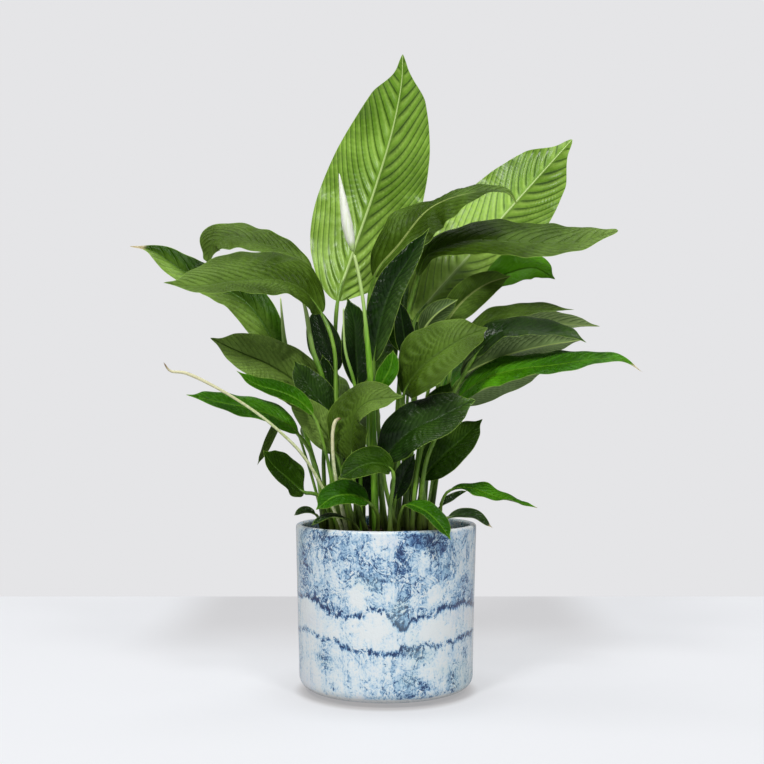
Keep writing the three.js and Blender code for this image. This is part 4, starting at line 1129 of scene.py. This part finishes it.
def make_leaf(name, root, stalk, blade, width, faces, fold=FOLD_DEGREES, widest=WIDEST_AT,
              top="mid", under="under_grey", light=(0,), halves=0.0, quilt=1.35, ripple=None,
              dry=NEVER_DRY):
    chance = random.Random(name)
    path = Path([*soil_start(*root), *stalk, *blade])
    blade_start = path.share_at_point(2 + len(stalk))
    length = path.length * (1 - blade_start)
    half = width * MM / 2
    faces = np.array(faces, float)
    folds = np.atleast_1d(fold)
    ripple = (0.02 * width + 0.5 if ripple is None else ripple) * MM
    waves = [chance.uniform(0, TURN) for _ in range(4)]
    wave_count = length / WAVE_LENGTH
    spacing = min(max(length / 16, 0.006), 0.0155)
    camber = chance.uniform(0.25, 0.5)

    def upper_face(side, along):
        side = np.sign(side) * np.abs(side) ** 1.25
        share = blade_start + (1 - blade_start) * along
        run = path.along(share)
        up = spread(faces, along)
        up = unit(up - np.sum(up * run, axis=1)[:, None] * run)
        across = np.cross(run, up)
        wide = half * outline(along, widest)
        reach = wide * np.abs(side)
        rise = np.radians(spread(folds, along)) * smooth_step(along, 0, 0.12)
        # each half rises from the rounded midrib and arches over to its margin
        lift = wide * (np.sqrt(side ** 2 + 0.006) - 0.077) * np.sin(rise) * 1.07
        lift = lift + camber * wide * (np.abs(side) - side ** 2)
        wave = np.where(side < 0, np.sin(TURN * wave_count * along + waves[0]),
                        np.sin(TURN * wave_count * 0.87 * along + waves[1]))
        wave = wave + 0.5 * np.sin(TURN * wave_count * 2.3 * along + np.where(side < 0, waves[2], waves[3]))
        lift = lift + ripple * wave * np.abs(side) ** 2.2 * smooth_step(along, 0.02, 0.3) * (wide / half)
        vein = (along * length - 1.1 * reach - 1.25 * reach ** 2 / half) / spacing
        vein = vein + np.where(side < 0, 0.37, 0) + 0.3 * np.sin(TURN * 2.3 * along + waves[0])
        # each swelling between two veins rises slowly and drops sharply on its tip side
        cell = vein - np.floor(vein)
        puff = np.sin(np.pi * cell ** 1.7) - 0.5
        inner = smooth_step(reach, 0.001, 0.008) * (1 - np.abs(side) ** 5)
        lift = lift + quilt * PUFF_HEIGHT * puff * inner * smooth_step(1 - along, 0.02, 0.2)
        rib_half = RIB_HALF_WIDTH * MM * (1 - 0.72 * along) * min(1, width / 60 + 0.35)
        rib = reach / rib_half
        # painted light and shade: along the blade from light, and across it from halves
        glow = spread(np.array(light, float), along) - halves * side
        dead = smooth_step(along, dry - 0.015, dry + 0.015)
        places = path.at(share) + across * (side * wide * np.cos(rise))[:, None]
        inside = wide * (1 - np.abs(side)) / MM
        values = {"vein": vein, "rib": rib, "light": glow, "dry": dead, "tip": along, "margin": inside}
        return places, up, lift, wide, side, values

    def top_face(side, along):
        places, up, lift, wide, side, values = upper_face(side, along)
        groove = -RIB_GROOVE * np.exp(-(values["rib"] / 0.9) ** 2) * smooth_step(wide / half, 0, 0.4)
        return places + up * (lift + groove)[:, None], values

    def under_face(side, along):
        places, up, lift, wide, side, values = upper_face(side, along)
        ends = smooth_step(wide / half, 0, 0.3)
        skin = BLADE_THICKNESS * MM * (1 - side ** 6) * ends
        ridge = RIB_RIDGE * (1 - 0.75 * along) * np.exp(-(values["rib"] / 0.95) ** 2) * ends
        return places + up * (lift - skin - ridge)[:, None], values

    columns = 2 * max(5, round(width / COLUMN_STEP / 2) + 2)
    rows = max(18, round(length / MM / ROW_STEP))
    bm = new_growth()
    lay_grid(bm, columns, rows, top_face, 0)
    lay_grid(bm, columns, rows, under_face, 1, turn_over=True)

    thin = min(1, 0.55 + width / 90)
    stalk_end = blade_start + (1 - blade_start) * 0.14
    knee = blade_start / stalk_end

    def stalk_radius(along):
        base = 1.35 - 0.35 * smooth_step(along, 0, 0.25)
        swell = 1 + 0.16 * np.exp(-((along - knee * 0.94) / 0.04) ** 2)
        taper = 1 - 0.28 * along - 0.45 * smooth_step(along, knee * 0.96, 1)
        return STALK_RADIUS * MM * thin * base * swell * taper

    stalk_rows = max(14, round(path.length * stalk_end / MM / 6))
    add_tube(bm, path, stalk_end, stalk_radius, faces[:1], 12, stalk_rows, 2, squash=0.92,
             sink_at=lambda along: 0.8 * smooth_step(along, knee * 0.9, knee * 1.1))
    push_into_soil(bm)
    materials = [LEAF_FACES[top], LEAF_FACES[under], STALK]
    finish_piece(name, bm, materials, name, slot="leaf")


def make_stem(name, material, slot, points, radii):
    """A stalk, a bud or a rolled flower."""
    start = soil_start(*points[0]) if len(points[0]) == 2 else [points[0]]
    path = Path([*start, *points[1:]])

    rows = max(24, round(path.length / MM / 3.0))
    # radii are spread over the path's points, and the tube runs by length
    point_shares = np.linspace(0, 1, len(path.points))
    point_lengths = [path.share_at_point(i) for i in range(len(path.points))]

    def radius_at(along):
        return spread(np.array(radii, float), np.interp(along, point_lengths, point_shares)) * MM

    bm = new_growth()
    add_tube(bm, path, 1, radius_at, [[0, -1, 0]], 20, rows)
    push_into_soil(bm)
    finish_piece(name, bm, [material], name, slot=slot)


# ---- Pot and soil --------------------------------------------------------------------------------

POT_SPIN_STEPS = 180
SOIL_SPIN_STEPS = 120
CRUMB_COUNT = 420
UNDERSIDE_HEIGHT = 0.0022
FOOT_ROUND = 0.0015
POT_FLOOR_ROUND = 0.006


def arc(centre, radius, start, end, steps):
    """Points of a circle's arc in the profile's plane, from one angle to another, in degrees."""
    turns = np.radians(np.linspace(start, end, steps + 1))
    return [(centre[0] + radius * math.cos(t), centre[1] + radius * math.sin(t)) for t in turns]


def run_between(a, b, steps):
    """Points evenly along a straight stretch of the profile, without its last one."""
    return [(a[0] + (b[0] - a[0]) * i / steps, a[1] + (b[1] - a[1]) * i / steps) for i in range(steps)]


def spun(profile, steps):
    """A closed solid of revolution from a profile of (radius, height) that starts and ends on the axis."""
    bm = bmesh.new()
    verts = [bm.verts.new((r, 0, z)) for r, z in profile]
    edges = [bm.edges.new(pair) for pair in zip(verts, verts[1:])]
    bmesh.ops.spin(bm, geom=verts + edges, cent=(0, 0, 0), axis=(0, 0, 1), angle=TURN, steps=steps,
                   use_merge=True)
    bmesh.ops.remove_doubles(bm, verts=bm.verts, dist=0.00001)
    for face in bm.faces:
        face.smooth = True
    return bm


def pot_inside(height):
    share = height / POT_HEIGHT
    return POT_BASE_RADIUS + (POT_TOP_RADIUS - POT_BASE_RADIUS) * share - POT_WALL


def make_pot():
    """The cover pot: a rolled rim, a softly uneven wall and a turned foot ring."""
    rim = POT_WALL / 2
    bottom = FOOT_HEIGHT + POT_EDGE_ROUND
    shoulder = (POT_BASE_RADIUS - 0.0008, bottom)
    lip = (POT_TOP_RADIUS - rim - 0.0005, POT_HEIGHT - rim - 0.0002)
    outer = lip[0] + rim
    floor_inside = pot_inside(POT_FLOOR)
    profile = [(0, UNDERSIDE_HEIGHT), (FOOT_RADIUS - 0.009, UNDERSIDE_HEIGHT)]
    profile += arc((FOOT_RADIUS - 0.0055, FOOT_ROUND), FOOT_ROUND, 180, 270, 3)
    profile += arc((FOOT_RADIUS - FOOT_ROUND, FOOT_ROUND), FOOT_ROUND, 270, 360, 4)
    profile += [(FOOT_RADIUS, FOOT_HEIGHT - 0.0006), (FOOT_RADIUS + 0.001, FOOT_HEIGHT)]
    under_edge = (shoulder[0] - POT_EDGE_ROUND, FOOT_HEIGHT)
    profile += run_between((FOOT_RADIUS + 0.004, FOOT_HEIGHT), under_edge, 6)
    profile += arc((shoulder[0] - POT_EDGE_ROUND, bottom), POT_EDGE_ROUND, 270, 360, 10)
    profile += run_between(shoulder, (outer, lip[1]), 46)[1:]
    profile += arc(lip, rim, 0, 180, 10)
    wall_foot = POT_FLOOR + POT_FLOOR_ROUND
    profile += run_between((lip[0] - rim, lip[1]), (floor_inside, wall_foot), 30)[1:]
    profile += arc((floor_inside - POT_FLOOR_ROUND, wall_foot), POT_FLOOR_ROUND, 0, -90, 5)
    profile += [(0.03, POT_FLOOR), (0, POT_FLOOR)]
    bm = spun(profile, POT_SPIN_STEPS)
    for vert in bm.verts:
        flat = Vector((vert.co.x, vert.co.y, 0))
        if flat.length > FOOT_RADIUS + 0.01 and vert.co.z > FOOT_HEIGHT + 0.001:
            wobble = noise.noise(vert.co * 9) * 0.0005 + noise.noise(vert.co * 42) * 0.00018
            vert.co += flat.normalized() * (wobble - 0.0002)
    finish_piece("pot", bm, [GLAZE], "pot", slot="pot_glaze")


def make_soil():
    """The compost: a lumpy top that sags to the pot's wall, with loose crumbs over it."""
    top = SOIL_TOP * MM
    edge = pot_inside(top) - 0.001
    profile = [(0, POT_FLOOR + 0.0004), (pot_inside(POT_FLOOR) - 0.007, POT_FLOOR + 0.0004)]
    low_edge = (pot_inside(POT_FLOOR + 0.009) - 0.001, POT_FLOOR + 0.009)
    profile += run_between(low_edge, (edge, top - 0.002), 12)
    profile += run_between((edge, top - 0.002), (0, top), 44)
    profile += [(0, top)]
    bm = spun(profile, SOIL_SPIN_STEPS)
    for vert in bm.verts:
        if vert.co.z > top - 0.0021:
            lumps = noise.noise(vert.co * 45) * 0.0022 + noise.noise(vert.co * 160) * 0.0014
            vert.co.z += lumps
    finish_piece("soil", bm, [COMPOST], "soil", slot="potting_mix")

    chance = random.Random("crumbs")
    bm = bmesh.new()
    for _ in range(CRUMB_COUNT):
        angle = chance.uniform(0, TURN)
        reach = (edge - 0.004) * math.sqrt(chance.uniform(0, 1))
        spot = Vector((reach * math.cos(angle), reach * math.sin(angle), top + chance.uniform(0, 0.001)))
        size = chance.uniform(0.0008, 0.0026)
        crumb = bmesh.ops.create_icosphere(bm, subdivisions=1, radius=size)["verts"]
        for vert in crumb:
            vert.co *= 1 + 0.45 * noise.noise(vert.co * 900 + spot * 50)
            vert.co.z *= 0.7
            vert.co += spot
    finish_piece("soil_crumbs", bm, [CRUMB], "soil", slot="potting_mix")


# ---- Stage ---------------------------------------------------------------------------------------

FLOOR_GLOW_SEEN = 0.56
FLOOR_GLOW_CAST = 0.34
STUDIO_SEEN = 0.78
STUDIO_FILL = 0.12


def stage_sheet(name, size, place, turn, material):
    bm = bmesh.new()
    bmesh.ops.create_grid(bm, x_segments=1, y_segments=1, size=size)
    bmesh.ops.rotate(bm, verts=bm.verts, matrix=turn)
    bmesh.ops.translate(bm, verts=bm.verts, vec=place)
    mesh = bpy.data.meshes.new(name)
    bm.to_mesh(mesh)
    bm.free()
    mesh.materials.append(material)
    sheet = bpy.data.objects.new(name, mesh)
    bpy.context.scene.collection.objects.link(sheet)


def floor_finish():
    """A floor that shows an even glow of its own, with a faint soft painted shadow behind the pot and a
    painted shadow ring round its foot.
    """
    material, nodes, surface = new_material("pale_floor", Roughness=0.6, Specular_IOR_Level=0.15)
    where = nodes.place()
    parts = nodes.add("SeparateXYZ", {0: where}).outputs
    # painted shadow: a soft patch behind the pot and a ring round its foot darken the floor's colour and
    # glow
    across = nodes.remap(nodes.math("ABSOLUTE", parts["X"]), 0.33, 0.22)
    depth = nodes.remap(parts["Y"], 0.06, 0.40)
    shade = nodes.math("MULTIPLY", nodes.math("MULTIPLY", across, depth), 0.24)
    reach = nodes.add("VectorMath", {0: where}, operation="LENGTH").outputs["Value"]
    shade = nodes.math("ADD", shade, nodes.remap(reach, 0.150, 0.080, 0.0, 0.10))
    shade = nodes.math("ADD", shade, nodes.remap(reach, 0.094, 0.080, 0.0, 0.32))
    nodes.feed(surface["Base Color"], nodes.mix(shade, (0.27, 0.275, 0.285), (0.16, 0.13, 0.11)))
    nodes.feed(surface["Emission Color"], nodes.mix(shade, (1, 1.012, 1.045), (0.05, 0.02, 0.0)))
    seen = nodes.add("LightPath").outputs["Is Camera Ray"]
    strength = nodes.remap(seen, 0.0, 1.0, FLOOR_GLOW_CAST, FLOOR_GLOW_SEEN)
    nodes.feed(surface["Emission Strength"], strength)
    return material


def wall_finish():
    """An evenly lit wall that shows from the front only, and throws back half the light that it shows."""
    material = bpy.data.materials.new("pale_wall")
    material.use_nodes = True
    nodes = Nodes(material.node_tree)
    nodes.tree.nodes.remove(nodes.tree.nodes["Principled BSDF"])
    seen = nodes.add("LightPath").outputs["Is Camera Ray"]
    strength = nodes.remap(seen, 0.0, 1.0, 0.5, 1.0)
    glow = nodes.add("Emission", {"Color": (0.783, 0.783, 0.799), "Strength": strength}).outputs[0]
    clear = nodes.add("BsdfTransparent").outputs[0]
    back = nodes.add("NewGeometry").outputs["Backfacing"]
    shown = nodes.add("MixShader", {0: back, 1: glow, 2: clear}).outputs[0]
    nodes.feed(nodes.tree.nodes["Material Output"].inputs["Surface"], shown)
    return material


def surround_with_studio():
    """Pale all round where it is seen, and only a faint fill where it lights the plant."""
    world = bpy.data.worlds.new("studio")
    world.use_nodes = True
    nodes = Nodes(world.node_tree)
    sockets = world.node_tree.nodes["Background"].inputs
    seen = nodes.add("LightPath").outputs["Is Camera Ray"]
    nodes.feed(sockets["Color"], (1, 1, 1))
    nodes.feed(sockets["Strength"], nodes.remap(seen, 0.0, 1.0, STUDIO_FILL, STUDIO_SEEN))
    bpy.context.scene.world = world


# ---- Assembly ------------------------------------------------------------------------------------

surround_with_studio()
from_above = Vector((0, 0, 1)).to_track_quat("Z", "Y").to_matrix()
facing_front = Vector((0, -1, 0)).to_track_quat("Z", "Y").to_matrix()
stage_sheet("floor", 5, (0, 0, 0), from_above, floor_finish())
stage_sheet("wall", 1.8, (0, WALL_DISTANCE, 1.8), facing_front, wall_finish())

make_pot()
make_soil()
for leaf, plan in LEAVES.items():
    make_leaf(leaf, **plan, **LEAF_LOOKS[leaf])

STEM_FINISHES = {
    "flower_stalk": (BUD, "stalk"), "flower_spathe": (SPATHE, "spathe"), "bud_far_left": (BUD, "stalk"),
    "bud_left": (BUD, "stalk"), "bud_centre": (BUD, "stalk"), "spent_flower": (WITHERED, "withered"),
    "spent_stalk": (WITHERED, "withered"),
}
for stem, plan in STEMS.items():
    make_stem(stem, *STEM_FINISHES[stem], **plan)
